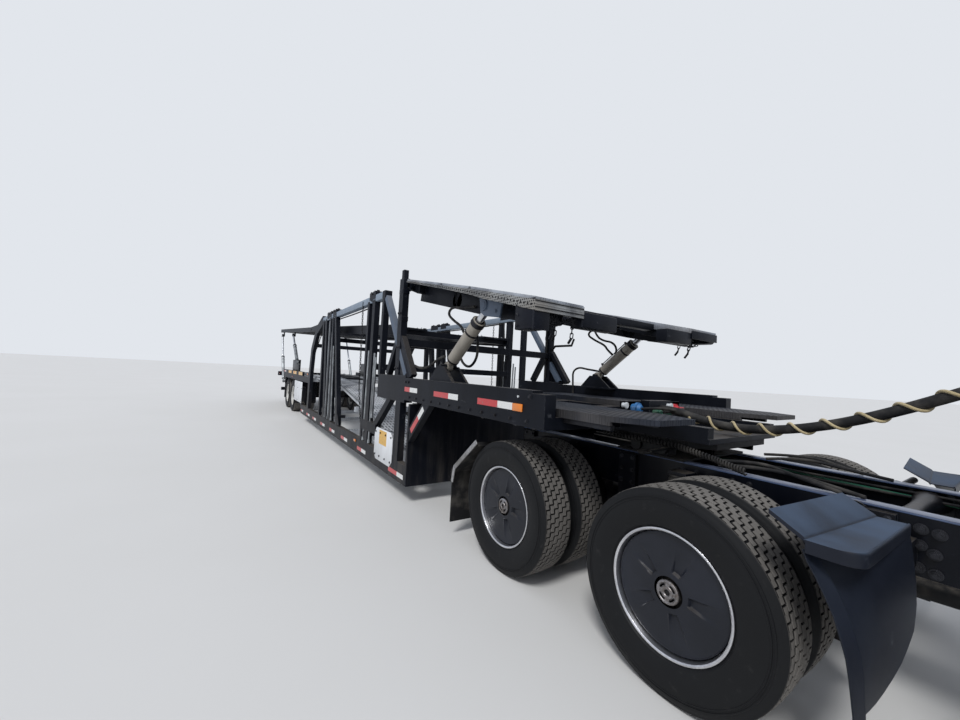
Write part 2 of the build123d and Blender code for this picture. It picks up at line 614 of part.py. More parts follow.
def make_front_runways():
    """Two wheel runways over the coupling, with tapered tips."""
    plan = [(-2950, 520), (-2950, 1150), (-420, 1150), (-180, 1000), (-180, 620), (-420, 520)]
    deck = top_plate(plan, 1262, 1296)
    deck += block(-2940, -400, 520, 545, 1240, 1262)
    deck += block(-2940, -400, 1125, 1150, 1240, 1262)
    save("front_runways", both(deck))


POSTS = [
    # foot station, foot height, head station, head height, width
    (-4750, SILL_TOP, -4750, 2500, 80),
    (-4500, SILL_TOP, -4500, 2500, 110),
    (-4090, 1430, -4090, 2500, 80),
    (-3335, SILL_TOP, -3335, 1120, 150),
    (-6270, SILL_TOP, -6900, 2500, 120),
    (-6850, SILL_TOP, -7100, 2500, 90),
    (-7200, SILL_TOP, -7300, 2500, 110),
    (-7400, SILL_TOP, -7750, 2500, 150),
    (-7900, SILL_TOP, -7980, 2500, 120),
]
BRACES = [
    (-4010, 2480, -3180, 1440, 74),
    (-4150, 735, -3640, 1140, 90),
    (-3380, 1900, -3010, 1440, 56),
    (-3500, 1900, -3800, 1440, 80),
]


def make_trusses():
    """Side posts, braces, masts, top rails and sills of the trailer."""
    y0, y1 = TRUSS_Y0, HALF_WIDTH
    side = block(-8150, -4050, y0 - 20, y1 - 10, *TOP_RAIL_Z)
    side += block(SILL_REAR, BULKHEAD - 40, SILL_Y0, y1, SILL_LOW, SILL_TOP)
    for x0, z0, x1, z1, width in POSTS:
        side += strut((x0, z0 - 5), (x1, z1 + 5), width, y0, y1)
    for x0, z0, x1, z1, width in BRACES:
        side += strut((x0, z0), (x1, z1), width, y0 + 5, y1 - 5)
    side += chain_of_struts([(-8100, 2520), (-8750, 2330), (-9200, 1850), (-9300, 1300), (-9300, 400)],
                            210, y0, y1)
    # The arm that carries the rear deck's pivot
    side += strut((-8650, 2400), (REAR_PIVOT[0] - 60, REAR_PIVOT[1]), 130, y0 + 5, y1 - 5)
    side += block(-4700, -4100, y0, y1, 600, 740)
    for x0, x1 in ((-4720, -4450), (-7650, -7260), (-7120, -6850)):
        side += block(x0, x1, y0 - 25, y1, TOP_RAIL_Z[0] + 40, TOP_RAIL_Z[1] + 55)
    side += block(-4140, -4030, y0 - 20, y1, TOP_RAIL_Z[0] - 5, TOP_RAIL_Z[1] + 5)
    # The mast that carries the head ramp
    mast = block(-3500, -3380, y0, y1, 1430, 2630)
    mast += block(-3475, -3405, y0 + 10, y1 - 10, 2630, 2740)
    mast += block(-3400, -3150, y0, y1, 1430, 1440)
    side += mast
    side -= block(-4100, -3150, y0 - 30, y1 + 5, 1120, 1430)
    side -= block(-3160, NOSE, y0 - 60, y1 + 5, BEAM_LOW, BEAM_TOP + 20)
    truss = both(side)
    # Hinge pin bosses for the head ramp, inboard of each mast
    for s in (1, -1):
        truss += block(-3460, -3330, s * 1170, s * 1215, 2490, 2600)
        truss -= bar((RAMP_PIVOT[0], s * 1100, RAMP_PIVOT[1]), (RAMP_PIVOT[0], s * 1240, RAMP_PIVOT[1]), 25)
        truss -= bar((REAR_PIVOT[0], s * 1200, REAR_PIVOT[1]), (REAR_PIVOT[0], s * 1300, REAR_PIVOT[1]), 25)
    # Cross beams between the sides
    for x, z in ((-3440, 1800), (-4500, 1480), (-7900, 2050), (-9280, 1950)):
        truss += block(x - 45, x + 45, -y0, y0, z, z + 90)
    save("side_trusses", truss)


LOWER_LINE = [(-3060, 470), (-4300, 640), (-5400, 860), (-6900, 1120), (-9300, 1180), (-11400, 1180)]


def make_lower_deck():
    """Lower wheel runways and their cross-members."""
    deck = chain_of_struts(LOWER_LINE, 40, 560, 1120)
    shape = both(deck)
    for x, z in LOWER_LINE[1:-1]:
        shape += block(x - 40, x + 40, -SILL_Y0, SILL_Y0, z - 100, z - 15)
    for x in (-3600, -5200, -6400, -8200, -9700):
        shape += block(x - 50, x + 50, -SILL_Y0, SILL_Y0, 230, 310)
    save("lower_deck", shape)


def make_rear_frame():
    """Rear deck, side boards, splash plates, tool boxes, under-ride bumper and the tail beam."""
    rail = chain_of_struts([(SILL_REAR + 60, 310), (-10900, 900), (-11400, 1100)], 150, SILL_Y0, HALF_WIDTH)
    rail -= block(SILL_REAR, SILL_REAR + 400, SILL_Y0 - 5, HALF_WIDTH + 5, 0, 700)
    rail += block(-14300, -9405, SILL_Y0, HALF_WIDTH, 1040, 1180)
    rail += block(-14300, -10300, HALF_WIDTH - 40, HALF_WIDTH, 1175, 1300)
    rail += block(-14300, -14200, 1090, HALF_WIDTH, 1040, 1180)
    rail += block(-16150, -14200, 1090, 1170, 1040, 1180)
    rail += block(-16150, -11400, 540, 1080, 1150, 1190)
    rail += block(-16150, -11400, 430, 500, 1020, 1150)
    rail += block(-11600, -10250, 1190, HALF_WIDTH - 6, 450, 880)
    for x in (-11950, -14250):
        rail += block(x - 6, x + 6, 600, 1240, 300, 1045)
    rail += block(-14640, -14600, 560, 1080, 900, 1155)
    # Stands for the pivots of the two lift cylinders
    rail += block(-11850, -11650, 1165, HALF_WIDTH, 1175, 1200)
    rail += block(PROP_BASE[0] - 60, PROP_BASE[0] + 60, 1165, 1190, 1195, PROP_BASE[1] + 60)
    rail += bar((PROP_BASE[0], 1170, PROP_BASE[1]), (PROP_BASE[0], DECK_CYL_Y + 35, PROP_BASE[1]), 24.9)
    rail += block(REAR_BASE[0] - 80, REAR_BASE[0] + 80, 1130, 1185, 780, 1045)
    rail += bar((REAR_BASE[0], 1150, REAR_BASE[1]), (REAR_BASE[0], DECK_CYL_Y + 35, REAR_BASE[1]), 24.9)
    shape = both(rail)
    for x in (-11450, -12100, -13100, -14250, -15300, -16100):
        shape += block(x - 50, x + 50, -1150, 1150, 1040, 1150)
    for x in (-11450, -12100, -13100):
        shape += both(block(x - 50, x + 50, 1140, SILL_Y0 + 5, 1040, 1150))
    shape += both(block(-16130, -16050, 500, 580, 480, 1045))
    # The tail beam, set in from the rear end by its two dock buffers
    shape += block(REAR_END + BUFFER, -16140, -HALF_WIDTH, HALF_WIDTH, 1020, 1180)
    shape += both(block(REAR_END, REAR_END + BUFFER, 1000, 1070, 1030, 1170))
    shape += block(-16150, -16050, -1150, 1150, 440, 560)
    save("rear_frame", shape)


def make_trailer_axles():
    shape = Part()
    for x in TRAILER_AXLES:
        shape += bar((x, -644, AXLE_Z), (x, 644, AXLE_Z), 62)
        for s in (1, -1):
            shape += bar((x, s * 640, AXLE_Z), (x, s * 1146, AXLE_Z), SPINDLE_R)
            shape += side_plate([(x - 80, AXLE_Z - 70), (x - 80, AXLE_Z + 70), (x + 420, 900), (x + 520, 900),
                                 (x + 520, 820)], s * 440, s * 520)
            shape += block(x + 420, x + 540, s * 430, s * 530, 820, 1020)
    save("trailer_axles", shape)


def make_landing_legs():
    leg = block(-3130, -3010, 380, 500, 380, 1150)
    leg += block(-3115, -3025, 395, 485, 290, 380)
    leg += block(-3190, -3012, 330, 550, 270, 290)
    shape = both(leg)
    shape += block(-3090, -3050, -380, 380, 700, 740)
    save("landing_legs", shape)


RAMP_LINE = [(-3305, 2585), (-2400, 2385), (-1850, 2262), (-960, 2048)]
# The outline of the plate along each outer edge: deep ahead of the eye, shallow behind it
EDGE_LINE = [(-3300, 2580), (-2400, 2380), (-1850, 2257), (-960, 2043), (-960, 1968), (-1371, 2072),
             (-1600, 2130), (-1850, 2206), (-2418, 2350), (-3300, 2562)]


def below(drop, end=None):
    """The ramp's line lowered, with its front point moved if one is given."""
    line = [(x, z - drop) for x, z in RAMP_LINE]
    return line[:-1] + [end] if end else line


def make_head_ramp():
    """The hinged front upper ramp: two runways on side beams, with end boxes."""
    half = chain_of_struts(RAMP_LINE, 36, 785, 1275)
    half += side_plate(EDGE_LINE, 1262, 1285)
    half += block(-962, -950, 785, 1285, 1965, 2045)
    half += chain_of_struts(below(24), 66, 780, 798)
    half += chain_of_struts(below(125, (-1150, 2005)), 190, 1040, 1080)
    half += chain_of_struts(below(75, (-1150, 2015)), 120, 800, 840)
    half += block(-1080, -960, 370, 795, 1900, 2025)
    # The plate at the cylinder's eye
    half += side_plate([(-1790, 2235), (-1760, 2045), (-1690, 2005), (-1470, 1972), (-1430, 2148)],
                       RAMP_CYL_Y + 38, RAMP_CYL_Y + 58)
    # Hinge arms back to the mast pins
    half += side_plate([(-3440, 2500), (-3440, 2590), (-3250, 2570), (-3250, 2440)], 1130, 1164)
    half += bar((RAMP_PIVOT[0], 1130, RAMP_PIVOT[1]), (RAMP_PIVOT[0], 1212, RAMP_PIVOT[1]), 24.95)
    half += block(-3260, -3180, 1075, 1164, 2440, 2565)
    shape = both(half)
    for x, top in ((-3200, 2550), (-2500, 2392), (-1900, 2258), (-1400, 2140)):
        shape += block(x - 40, x + 40, -1060, 1060, top - 75, top)
    # The right end box hangs lower than the left one
    shape += block(-1180, -960, -1285, -1130, 1835, 2060)
    shape += block(-1180, -960, 1130, 1285, 1940, 2060)
    save("head_ramp", shape)


BORE_BOTTOM = 120


def cylinder_pair(base, eye, y, tube_r, rod_r, tube_share, rod_from):
    """Barrels and rods of a left and right lift cylinder, from base pin to rod eye."""
    run = hypot(eye[0] - base[0], eye[1] - base[1])
    ux, uz = (eye[0] - base[0]) / run, (eye[1] - base[1]) / run
    end = run * tube_share

    def at(distance, side_y):
        return (base[0] + ux * distance, side_y, base[1] + uz * distance)

    barrel = bar(at(30, y), at(105, y), 27)
    barrel += bar(at(100, y), at(end, y), tube_r)
    barrel += bar((base[0], y - 28, base[1]), (base[0], y + 28, base[1]), 50)
    barrel -= bar((base[0], y - 40, base[1]), (base[0], y + 40, base[1]), 25)
    barrel -= bar(at(BORE_BOTTOM, y), at(end + 5, y), rod_r + RUN_FIT)
    rod = bar(at(rod_from, y), at(run - 20, y), rod_r)
    rod += bar((eye[0], y - 26, eye[1]), (eye[0], y + 26, eye[1]), 46)
    return both(barrel), both(rod)


def make_cylinders():
    rows = [
        # name, base pin, rod eye, side, barrel radius, rod radius, barrel's share of the length,
        # and how far from the base pin the rod starts inside its barrel
        ("ramp", RAMP_BASE, RAMP_EYE, RAMP_CYL_Y, 62, 34, 0.78, 255),
        ("tail", REAR_BASE, REAR_EYE, DECK_CYL_Y, 50, 32, 0.52, 770),
        ("prop", PROP_BASE, PROP_EYE, DECK_CYL_Y, 48, 30, 0.60, 350),
    ]
    for name, base, eye, y, tube_r, rod_r, share, rod_from in rows:
        barrels, rods = cylinder_pair(base, eye, y, tube_r, rod_r, share, rod_from)
        save(name + "_barrels", barrels)
        save(name + "_rods", rods)


def deck_shape(near, far, stations, beam, depth, inner):
    """An upper deck: side beams, runways and cross-members along a straight line."""
    slope = (far[1] - near[1]) / (far[0] - near[0])
    middle = (beam[0] + beam[1]) / 2
    shape = both(strut(near, far, depth, *beam))
    shape += both(strut((near[0], near[1] + 45), (far[0], far[1] + 45), 30, inner, middle))
    for x in stations:
        z = near[1] + (x - near[0]) * slope
        shape += block(x - 35, x + 35, -middle, middle, z - 45, z + 35)
    return shape


def make_upper_decks():
    mid = deck_shape(MID_PIVOT, MID_FRONT, (-7900, -7200, -6400, -5600, -4900, -4350), (1020, 1060), 150, 520)
    for s in (1, -1):
        mid += bar((MID_PIVOT[0], s * 1055, MID_PIVOT[1]), (MID_PIVOT[0], s * 1205, MID_PIVOT[1]), 24.9)
        mid += bar((MID_PIVOT[0], s * 1055, MID_PIVOT[1]), (MID_PIVOT[0], s * 1075, MID_PIVOT[1]), 75)
    save("mid_deck", mid)
    slope = (REAR_TAIL[1] - REAR_PIVOT[1]) / (REAR_TAIL[0] - REAR_PIVOT[0])
    start = (REAR_PIVOT[0] - 110, REAR_PIVOT[1] - 110 * slope)
    rear = deck_shape(start, REAR_TAIL, (-9700, -10800, -11900, -13000, -14100, -15200, -16150),
                      (1200, 1280), 120, 600)
    for s in (1, -1):
        arm = strut((REAR_PIVOT[0] + 60, REAR_PIVOT[1] - 3), (-9735, REAR_PIVOT[1] + 17), 110, s * 1120, s * 1190)
        rear += arm
        rear += bar((REAR_PIVOT[0], s * 1150, REAR_PIVOT[1]), (REAR_PIVOT[0], s * 1275, REAR_PIVOT[1]), 24.9)
        for eye in (REAR_EYE, PROP_EYE):
            rear += block(eye[0] - 55, eye[0] + 55, s * 1170, s * 1205, eye[1] - 50, eye[1] + 150)
    save("rear_deck", rear)


# Air and electric line bundle from the trailer's nose to the back of the sleeper
LINE_R = 30
LINE_ROUTE = [(-780, 0, 1296), (-650, 0, 1296), (-470, 0, 1246), (-260, 0, 1216), (-20, 0, 1230),
              (220, 0, 1284), (460, 0, 1372), (700, 0, 1490), (960, 0, 1630), (1210, 0, 1750),
              (1420, 0, 1812), (SLEEPER_REAR, 0, 1812)]


def make_lines():
    points = [Vector(part_x(x), y, z) for x, y, z in LINE_ROUTE]
    radii = []
    for a, b, c in zip(points, points[1:], points[2:]):
        before, after = b - a, c - b
        turn = radians(before.get_angle(after))
        radii.append(0.45 * min(before.length, after.length) / tan(turn / 2))
    print("line radii", [round(r) for r in radii])
    path = FilletPolyline(*points, radius=radii)
    start = Plane(origin=points[0], z_dir=points[1] - points[0])
    tube = sweep(start * Circle(LINE_R), path=path)
    print("line length", round(path.length), "volume ratio", tube.volume / (pi * LINE_R ** 2 * path.length))
    save("air_lines", tube)


def main():
    make_wheels()
    make_knuckles()
    make_tractor_frame()
    make_axles()
    make_powertrain()
    make_fifth_wheel()
    make_cab()
    make_doors()
    make_interior()
    make_hood()
    make_bumper()
    make_tanks()
    make_fenders()
    make_mudflaps()
    make_mirrors()
    make_gooseneck()
    make_front_runways()
    make_trusses()
    make_lower_deck()
    make_rear_frame()
    make_trailer_axles()
    make_landing_legs()
    make_head_ramp()
    make_cylinders()
    make_upper_decks()
    make_lines()


main()
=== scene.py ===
import json
from math import atan2, cos, hypot, pi, radians, sin

import bmesh
import bpy
from mathutils import Matrix, Vector


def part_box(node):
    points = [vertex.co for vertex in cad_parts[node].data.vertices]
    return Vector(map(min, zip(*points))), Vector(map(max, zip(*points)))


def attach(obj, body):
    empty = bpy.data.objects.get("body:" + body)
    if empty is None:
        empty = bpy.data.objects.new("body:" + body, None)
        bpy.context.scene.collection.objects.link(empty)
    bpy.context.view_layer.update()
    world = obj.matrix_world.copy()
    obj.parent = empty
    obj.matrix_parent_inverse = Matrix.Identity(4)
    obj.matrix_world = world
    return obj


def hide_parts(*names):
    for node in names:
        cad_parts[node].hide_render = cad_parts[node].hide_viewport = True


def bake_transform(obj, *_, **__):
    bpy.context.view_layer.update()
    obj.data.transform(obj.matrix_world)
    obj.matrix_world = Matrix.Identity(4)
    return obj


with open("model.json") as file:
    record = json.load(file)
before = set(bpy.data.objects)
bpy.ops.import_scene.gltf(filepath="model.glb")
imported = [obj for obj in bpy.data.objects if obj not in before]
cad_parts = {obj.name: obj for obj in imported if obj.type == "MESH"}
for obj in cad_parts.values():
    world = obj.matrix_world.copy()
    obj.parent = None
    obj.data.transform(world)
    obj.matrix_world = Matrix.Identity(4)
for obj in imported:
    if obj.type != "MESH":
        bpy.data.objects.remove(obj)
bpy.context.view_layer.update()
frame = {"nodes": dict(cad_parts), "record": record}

# A car transporter: a sleeper tractor and a high-mount car trailer. Metres, +X forward, +Y to the
# truck's left, +Z up. A station is a distance ahead of the front drive axle.

scene = bpy.context.scene


def middle(node):
    low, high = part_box(node)
    return (low + high) / 2


# Places taken from the frame
DRIVE_X = middle("tyre_drive_1_left").x
AXLE_HEIGHT = middle("tyre_drive_1_left").z
TYRE_RADIUS = AXLE_HEIGHT
OUTER_TYRE = 1.0795
INNER_TYRE = 0.7365
FRONT_TYRE = 1.04
RIM_HALF = 0.118

# The photograph's camera
CAMERA_STATION = 1.043
CAMERA_SIDE = -3.035
CAMERA_HEIGHT = 1.504
CAMERA_YAW = radians(56.52)
CAMERA_PITCH = radians(2.07)
CAMERA_ROLL = radians(3.08)
FOCAL_PIXELS = 382.1
PHOTO_WIDTH = 960
SENSOR_WIDTH = 36


def at(station, y, z):
    """A point from its station, side and height."""
    return Vector((DRIVE_X + station, y, z))


def make_camera():
    data = bpy.data.cameras.new("photo_camera")
    data.sensor_width = SENSOR_WIDTH
    data.lens = FOCAL_PIXELS / PHOTO_WIDTH * SENSOR_WIDTH
    data.clip_start = 0.05
    data.clip_end = 400
    level = cos(CAMERA_PITCH)
    ahead = Vector((-sin(CAMERA_YAW) * level, cos(CAMERA_YAW) * level, sin(CAMERA_PITCH)))
    right = ahead.cross(Vector((0, 0, 1))).normalized()
    above = right.cross(ahead)
    across = cos(CAMERA_ROLL) * right + sin(CAMERA_ROLL) * above
    upward = cos(CAMERA_ROLL) * above - sin(CAMERA_ROLL) * right
    camera = bpy.data.objects.new("photo_camera", data)
    turn = Matrix((across, upward, -ahead)).transposed().to_4x4()
    camera.matrix_world = Matrix.Translation(at(CAMERA_STATION, CAMERA_SIDE, CAMERA_HEIGHT)) @ turn
    scene.collection.objects.link(camera)
    scene.camera = camera


# Materials


def rgb(red, green, blue):
    """A colour given as 0 to 255 on a screen, as the shader's linear one."""
    def linear(value):
        share = value / 255
        return share / 12.92 if share <= 0.04045 else ((share + 0.055) / 1.055) ** 2.4
    return (linear(red), linear(green), linear(blue), 1)


class Wire:
    """A socket of a material that can stand in a sum, which then adds its Math nodes."""

    def __init__(self, finish, socket):
        self.finish = finish
        self.socket = socket

    def math(self, operation, first, second):
        return self.finish.node("ShaderNodeMath", {"operation": operation}, [first, second])

    def __add__(self, other):
        return self.math("ADD", self, other)

    def __sub__(self, other):
        return self.math("SUBTRACT", self, other)

    def __rsub__(self, other):
        return self.math("SUBTRACT", other, self)

    def __mul__(self, other):
        return self.math("MULTIPLY", self, other)

    def __truediv__(self, other):
        return self.math("DIVIDE", self, other)

    def __mod__(self, other):
        return self.math("FLOORED_MODULO", self, other)

    def __lt__(self, other):
        return self.math("LESS_THAN", self, other)

    def __gt__(self, other):
        return self.math("GREATER_THAN", self, other)

    __radd__ = __add__
    __rmul__ = __mul__


class Finish:
    """A material whose varying inputs are written as expressions."""

    def __init__(self, name, **constants):
        self.material = bpy.data.materials.new(name)
        self.material.use_nodes = True
        self.nodes = self.material.node_tree.nodes
        self.links = self.material.node_tree.links
        self.nodes.clear()
        self.shader = self.nodes.new("ShaderNodeBsdfPrincipled")
        output = self.nodes.new("ShaderNodeOutputMaterial")
        self.links.new(self.shader.outputs["BSDF"], output.inputs["Surface"])
        for socket, value in constants.items():
            self.shader.inputs[socket.replace("_", " ")].default_value = value
        self.place = self.node("ShaderNodeTexCoord", output="Object")

    def node(self, kind, settings=None, inputs=(), output=0):
        """A new node, its settings first, then the values or links of its sockets."""
        node = self.nodes.new(kind)
        for name, value in (settings or {}).items():
            setattr(node, name, value)
        pairs = inputs.items() if isinstance(inputs, dict) else enumerate(inputs)
        for key, value in pairs:
            if isinstance(value, Wire):
                self.links.new(value.socket, node.inputs[key])
            else:
                node.inputs[key].default_value = value
        return Wire(self, node.outputs[output])

    def feed(self, **values):
        for socket, value in values.items():
            self.links.new(value.socket, self.shader.inputs[socket.replace("_", " ")])
        return self.material

    def axes(self, wire=None):
        source = wire or self.place
        return [self.node("ShaderNodeSeparateXYZ", {}, [source], output) for output in range(3)]

    def noise(self, scale, detail=3.0, stretch=(1, 1, 1), rough=0.55):
        spot = self.node("ShaderNodeMapping", {}, {"Vector": self.place, "Scale": stretch})
        inputs = {"Vector": spot, "Scale": scale, "Detail": detail, "Roughness": rough}
        return self.node("ShaderNodeTexNoise", {}, inputs)

    def cells(self, scale, feature="F1"):
        return self.node("ShaderNodeTexVoronoi", {"feature": feature}, {"Vector": self.place,
            "Scale": scale})

    def step(self, value, low, high):
        """A soft step from 0 at low to 1 at high."""
        settings = {"interpolation_type": "SMOOTHSTEP"}
        return self.node("ShaderNodeMapRange", settings, {0: value, 1: low, 2: high, 3: 0.0, 4: 1.0})

    def tint(self, mask, first, second):
        """A colour between two, by a mask from 0 to 1."""
        ends = [rgb(*colour) if isinstance(colour, tuple) else colour for colour in (first, second)]
        return self.node("ShaderNodeMix", {"data_type": "RGBA"}, {0: mask, 6: ends[0], 7: ends[1]}, 2)

    def upward(self):
        normal = self.node("ShaderNodeTexCoord", output="Normal")
        return self.step(self.axes(normal)[2], 0.35, 0.95)

    def rounded(self, radius):
        return self.node("ShaderNodeBevel", {"samples": 4}, {"Radius": radius})

    def edges(self, rounded):
        """A mask of the sharp edges, where paint rubs off first."""
        flat = self.node("ShaderNodeNewGeometry", output="Normal")
        agree = self.node("ShaderNodeVectorMath", {"operation": "DOT_PRODUCT"}, [rounded, flat], "Value")
        return self.step(1 - agree, 0.015, 0.12)

    def bump(self, height, distance, strength=1.0, base=None):
        inputs = {"Strength": strength, "Distance": distance, "Height": height}
        if base:
            inputs["Normal"] = base
        return self.node("ShaderNodeBump", {}, inputs)


DUST = (150, 140, 126)


def steel_paint(name, base, faded, worn, gloss, dust=0.5, wear=1.0, coat=0.0, shine=0.5):
    """Painted steel: faded patches, rubbed edges, settled dust and fine orange peel."""
    finish = Finish(name, Coat_Weight=coat, Coat_Roughness=0.12, Specular_IOR_Level=shine)
    patches = finish.noise(1.7, 5)
    grain = finish.noise(38, 3)
    streaks = finish.noise(9, 4, (1, 1, 0.12))
    rounded = finish.rounded(0.005)
    rubbed = finish.edges(rounded) * finish.step(grain * 0.5 + patches * 0.5, 0.38, 0.62) * wear
    scuffs = finish.step(finish.noise(14, 6, (0.35, 1, 1)), 0.66, 0.74) * 0.5 * wear
    height = finish.axes()[2]
    settled = finish.upward() * finish.step(patches * 0.6 + grain * 0.4, 0.3, 0.62)
    splashed = finish.step(height, 1.1, 0.15) * finish.step(streaks, 0.4, 0.7) * 0.5
    colour = finish.tint(finish.step(patches * 0.6 + streaks * 0.4, 0.35, 0.7), base, faded)
    colour = finish.tint(finish.node("ShaderNodeMath", {"operation": "MAXIMUM"}, [rubbed, scuffs]), colour,
        worn)
    dusty = finish.node("ShaderNodeMath", {"operation": "MAXIMUM"}, [settled, splashed]) * dust
    colour = finish.tint(dusty, colour, DUST)
    rough = gloss + dusty * 0.35 + grain * 0.12
    relief = finish.bump(grain, 0.0006, 0.6, rounded)
    return finish.feed(Base_Color=colour, Roughness=rough, Normal=relief)


def bare_metal(name, base, dark, gloss, stretch=(1, 1, 1), metal=1.0):
    """Bare or plated metal with fine brushing and dull patches."""
    finish = Finish(name, Metallic=metal)
    brushed = finish.noise(90, 3, stretch)
    patches = finish.noise(5, 4)
    colour = finish.tint(finish.step(patches * 0.7 + brushed * 0.3, 0.38, 0.65), base, dark)
    rounded = finish.rounded(0.002)
    relief = finish.bump(brushed, 0.0002, 0.5, rounded)
    return finish.feed(Base_Color=colour, Roughness=gloss + patches * 0.22, Normal=relief)


def waffle_steel(name, pale, dark, hollow, dusty, pitch=0.042, metal=0.4, upright=False):
    """Plate with rows of raised round holes, on its upper faces or on its upright ones."""
    finish = Finish(name, Metallic=metal)
    x, y, z = finish.axes()
    rise = z if upright else y
    row = finish.node("ShaderNodeMath", {"operation": "FLOOR"}, [rise / pitch, 0.0])
    across = (x / pitch + row * 0.5) % 1.0 - 0.5
    along = (rise / pitch) % 1.0 - 0.5
    reach = finish.node("ShaderNodeMath", {"operation": "SQRT"}, [across * across + along * along, 0.0])
    hole = finish.step(reach, 0.27, 0.22)
    if not upright:
        hole = hole * finish.upward()
    lip = finish.step(reach, 0.44, 0.34) * finish.step(reach, 0.22, 0.3)
    patches = finish.noise(3.1, 5)
    grain = finish.noise(70, 3)
    colour = finish.tint(finish.step(patches, 0.36, 0.66), pale, dark)
    colour = finish.tint(finish.step(finish.noise(1.1, 4), 0.45, 0.72) * dusty, colour, DUST)
    # Holes are coloured near-black: painted shade seen through the perforations
    colour = finish.tint(hole, colour, hollow)
    rough = 0.5 + grain * 0.2 + hole * 0.3
    relief = finish.bump(lip - hole * 1.5 + grain * 0.1, 0.004, 0.8, finish.rounded(0.003))
    return finish.feed(Base_Color=colour, Roughness=rough, Normal=relief)


def slatted_steel(name, pale, dark, gap, dusty, pitch=0.05, metal=0.35):
    """Runway plate rolled with ribs along it and rows of slots between them."""
    finish = Finish(name, Metallic=metal)
    x, y, z = finish.axes()
    rib = finish.step(finish.node("ShaderNodeMath", {"operation": "PINGPONG"}, [y, pitch / 2]) / pitch,
        0.12, 0.24)
    slot = (finish.step((x / 0.11) % 1.0, 0.3, 0.34) * finish.step((x / 0.11) % 1.0, 0.96,
        0.92) * finish.step(rib, 0.35, 0.05) * finish.upward())
    patches = finish.noise(2.7, 5)
    grain = finish.noise(60, 3)
    colour = finish.tint(finish.step(patches, 0.36, 0.66), pale, dark)
    colour = finish.tint(finish.step(finish.noise(0.9, 4), 0.45, 0.72) * dusty, colour, DUST)
    # Slots are coloured near-black: painted shade seen through them
    colour = finish.tint(slot, colour, gap)
    relief = finish.bump(rib - slot + grain * 0.08, 0.006, 0.8, finish.rounded(0.003))
    return finish.feed(Base_Color=colour, Roughness=0.5 + grain * 0.2 + slot * 0.3, Normal=relief)


def tread_rubber():
    """Tyre rubber: dark sidewalls, and dusty brown-grey where it meets the road."""
    finish = Finish("tyre_rubber", Specular_IOR_Level=0.22)
    x, y, z = finish.axes()
    grain = finish.noise(120, 2)
    patches = finish.noise(6, 4)
    radial = finish.node("ShaderNodeAttribute", {"attribute_name": "road"}, output="Fac")
    scuffed = finish.step(finish.noise(16, 5, (1, 3, 1)), 0.6, 0.78)
    colour = finish.tint(patches, (14, 15, 17), (23, 24, 26))
    dusty = finish.step(radial, 0.55, 1.0) * (patches * 0.5 + 0.6)
    colour = finish.tint(dusty * 0.85, colour, (124, 120, 115))
    colour = finish.tint(scuffed * 0.12, colour, (96, 94, 92))
    rough = 0.48 + patches * 0.2 + dusty * 0.25
    return finish.feed(Base_Color=colour, Roughness=rough, Normal=finish.bump(grain, 0.0006, 0.5))


def moulded_plastic(name, base, pale, gloss, dust=0.35, film=DUST, shine=0.45):
    """Moulded plastic with a fine leather grain and a film on upward faces: dust by default, and on the
    fenders, whose film colour is bluish, a painted sky reflection.
    """
    finish = Finish(name, Specular_IOR_Level=shine)
    grain = finish.cells(420)
    patches = finish.noise(3.3, 5)
    scratches = finish.step(finish.noise(11, 6, (0.25, 1.0, 1.0)), 0.66, 0.74)
    colour = finish.tint(finish.step(patches, 0.35, 0.7), base, pale)
    colour = finish.tint(scratches * 0.25, colour, (128, 132, 138))
    # Film on upward faces: settled dust for most plastics, a painted sky reflection for the fenders
    dusty = finish.upward() * finish.step(patches, 0.1, 0.7) * dust
    colour = finish.tint(dusty, colour, film)
    relief = finish.bump(grain, 0.0004, 0.5, finish.rounded(0.004))
    return finish.feed(Base_Color=colour, Roughness=gloss + dusty * 0.4 + patches * 0.12, Normal=relief)


def rubber(name, base, gloss=0.65):
    finish = Finish(name, Specular_IOR_Level=0.35)
    patches = finish.noise(7, 4)
    grain = finish.noise(160, 2)
    colour = finish.tint(finish.step(patches, 0.4, 0.7) * 0.5, base, (96, 92, 86))
    return finish.feed(Base_Color=colour, Roughness=gloss + patches * 0.2, Normal=finish.bump(grain, 0.0005,
        0.5))


def clear_glass(name, colour):
    finish = Finish(name, Transmission_Weight=1.0, IOR=1.45, Coat_Weight=0.3)
    film = finish.noise(5, 5)
    smear = finish.tint(finish.step(film, 0.5, 0.8) * 0.25, colour, (206, 206, 200))
    return finish.feed(Base_Color=smear, Roughness=0.02 + finish.step(film, 0.55, 0.8) * 0.12)


def lamp_lens(name, base, deep):
    """A moulded lamp lens with vertical flutes."""
    finish = Finish(name, Coat_Weight=0.8, Coat_Roughness=0.05)
    x, y, z = finish.axes()
    flutes = finish.node("ShaderNodeMath", {"operation": "PINGPONG"}, [x + y, 0.006]) * 160
    colour = finish.tint(finish.step(flutes, 0.2, 0.9), base, deep)
    return finish.feed(Base_Color=colour, Roughness=0.18 + finish.noise(8, 3) * 0.15,
        Normal=finish.bump(flutes, 0.001, 0.6))


def tape(name, base, deep):
    """Reflective tape with a honeycomb of cells and worn spots."""
    finish = Finish(name, Coat_Weight=0.5, Coat_Roughness=0.2)
    comb = finish.cells(300, "DISTANCE_TO_EDGE")
    worn = finish.step(finish.noise(22, 5), 0.6, 0.75)
    colour = finish.tint(finish.step(comb, 0.02, 0.09), deep, base)
    colour = finish.tint(worn * 0.45, colour, (128, 120, 112))
    return finish.feed(Base_Color=colour, Roughness=0.35 + worn * 0.3, Normal=finish.bump(comb, 0.0003,
        0.4))


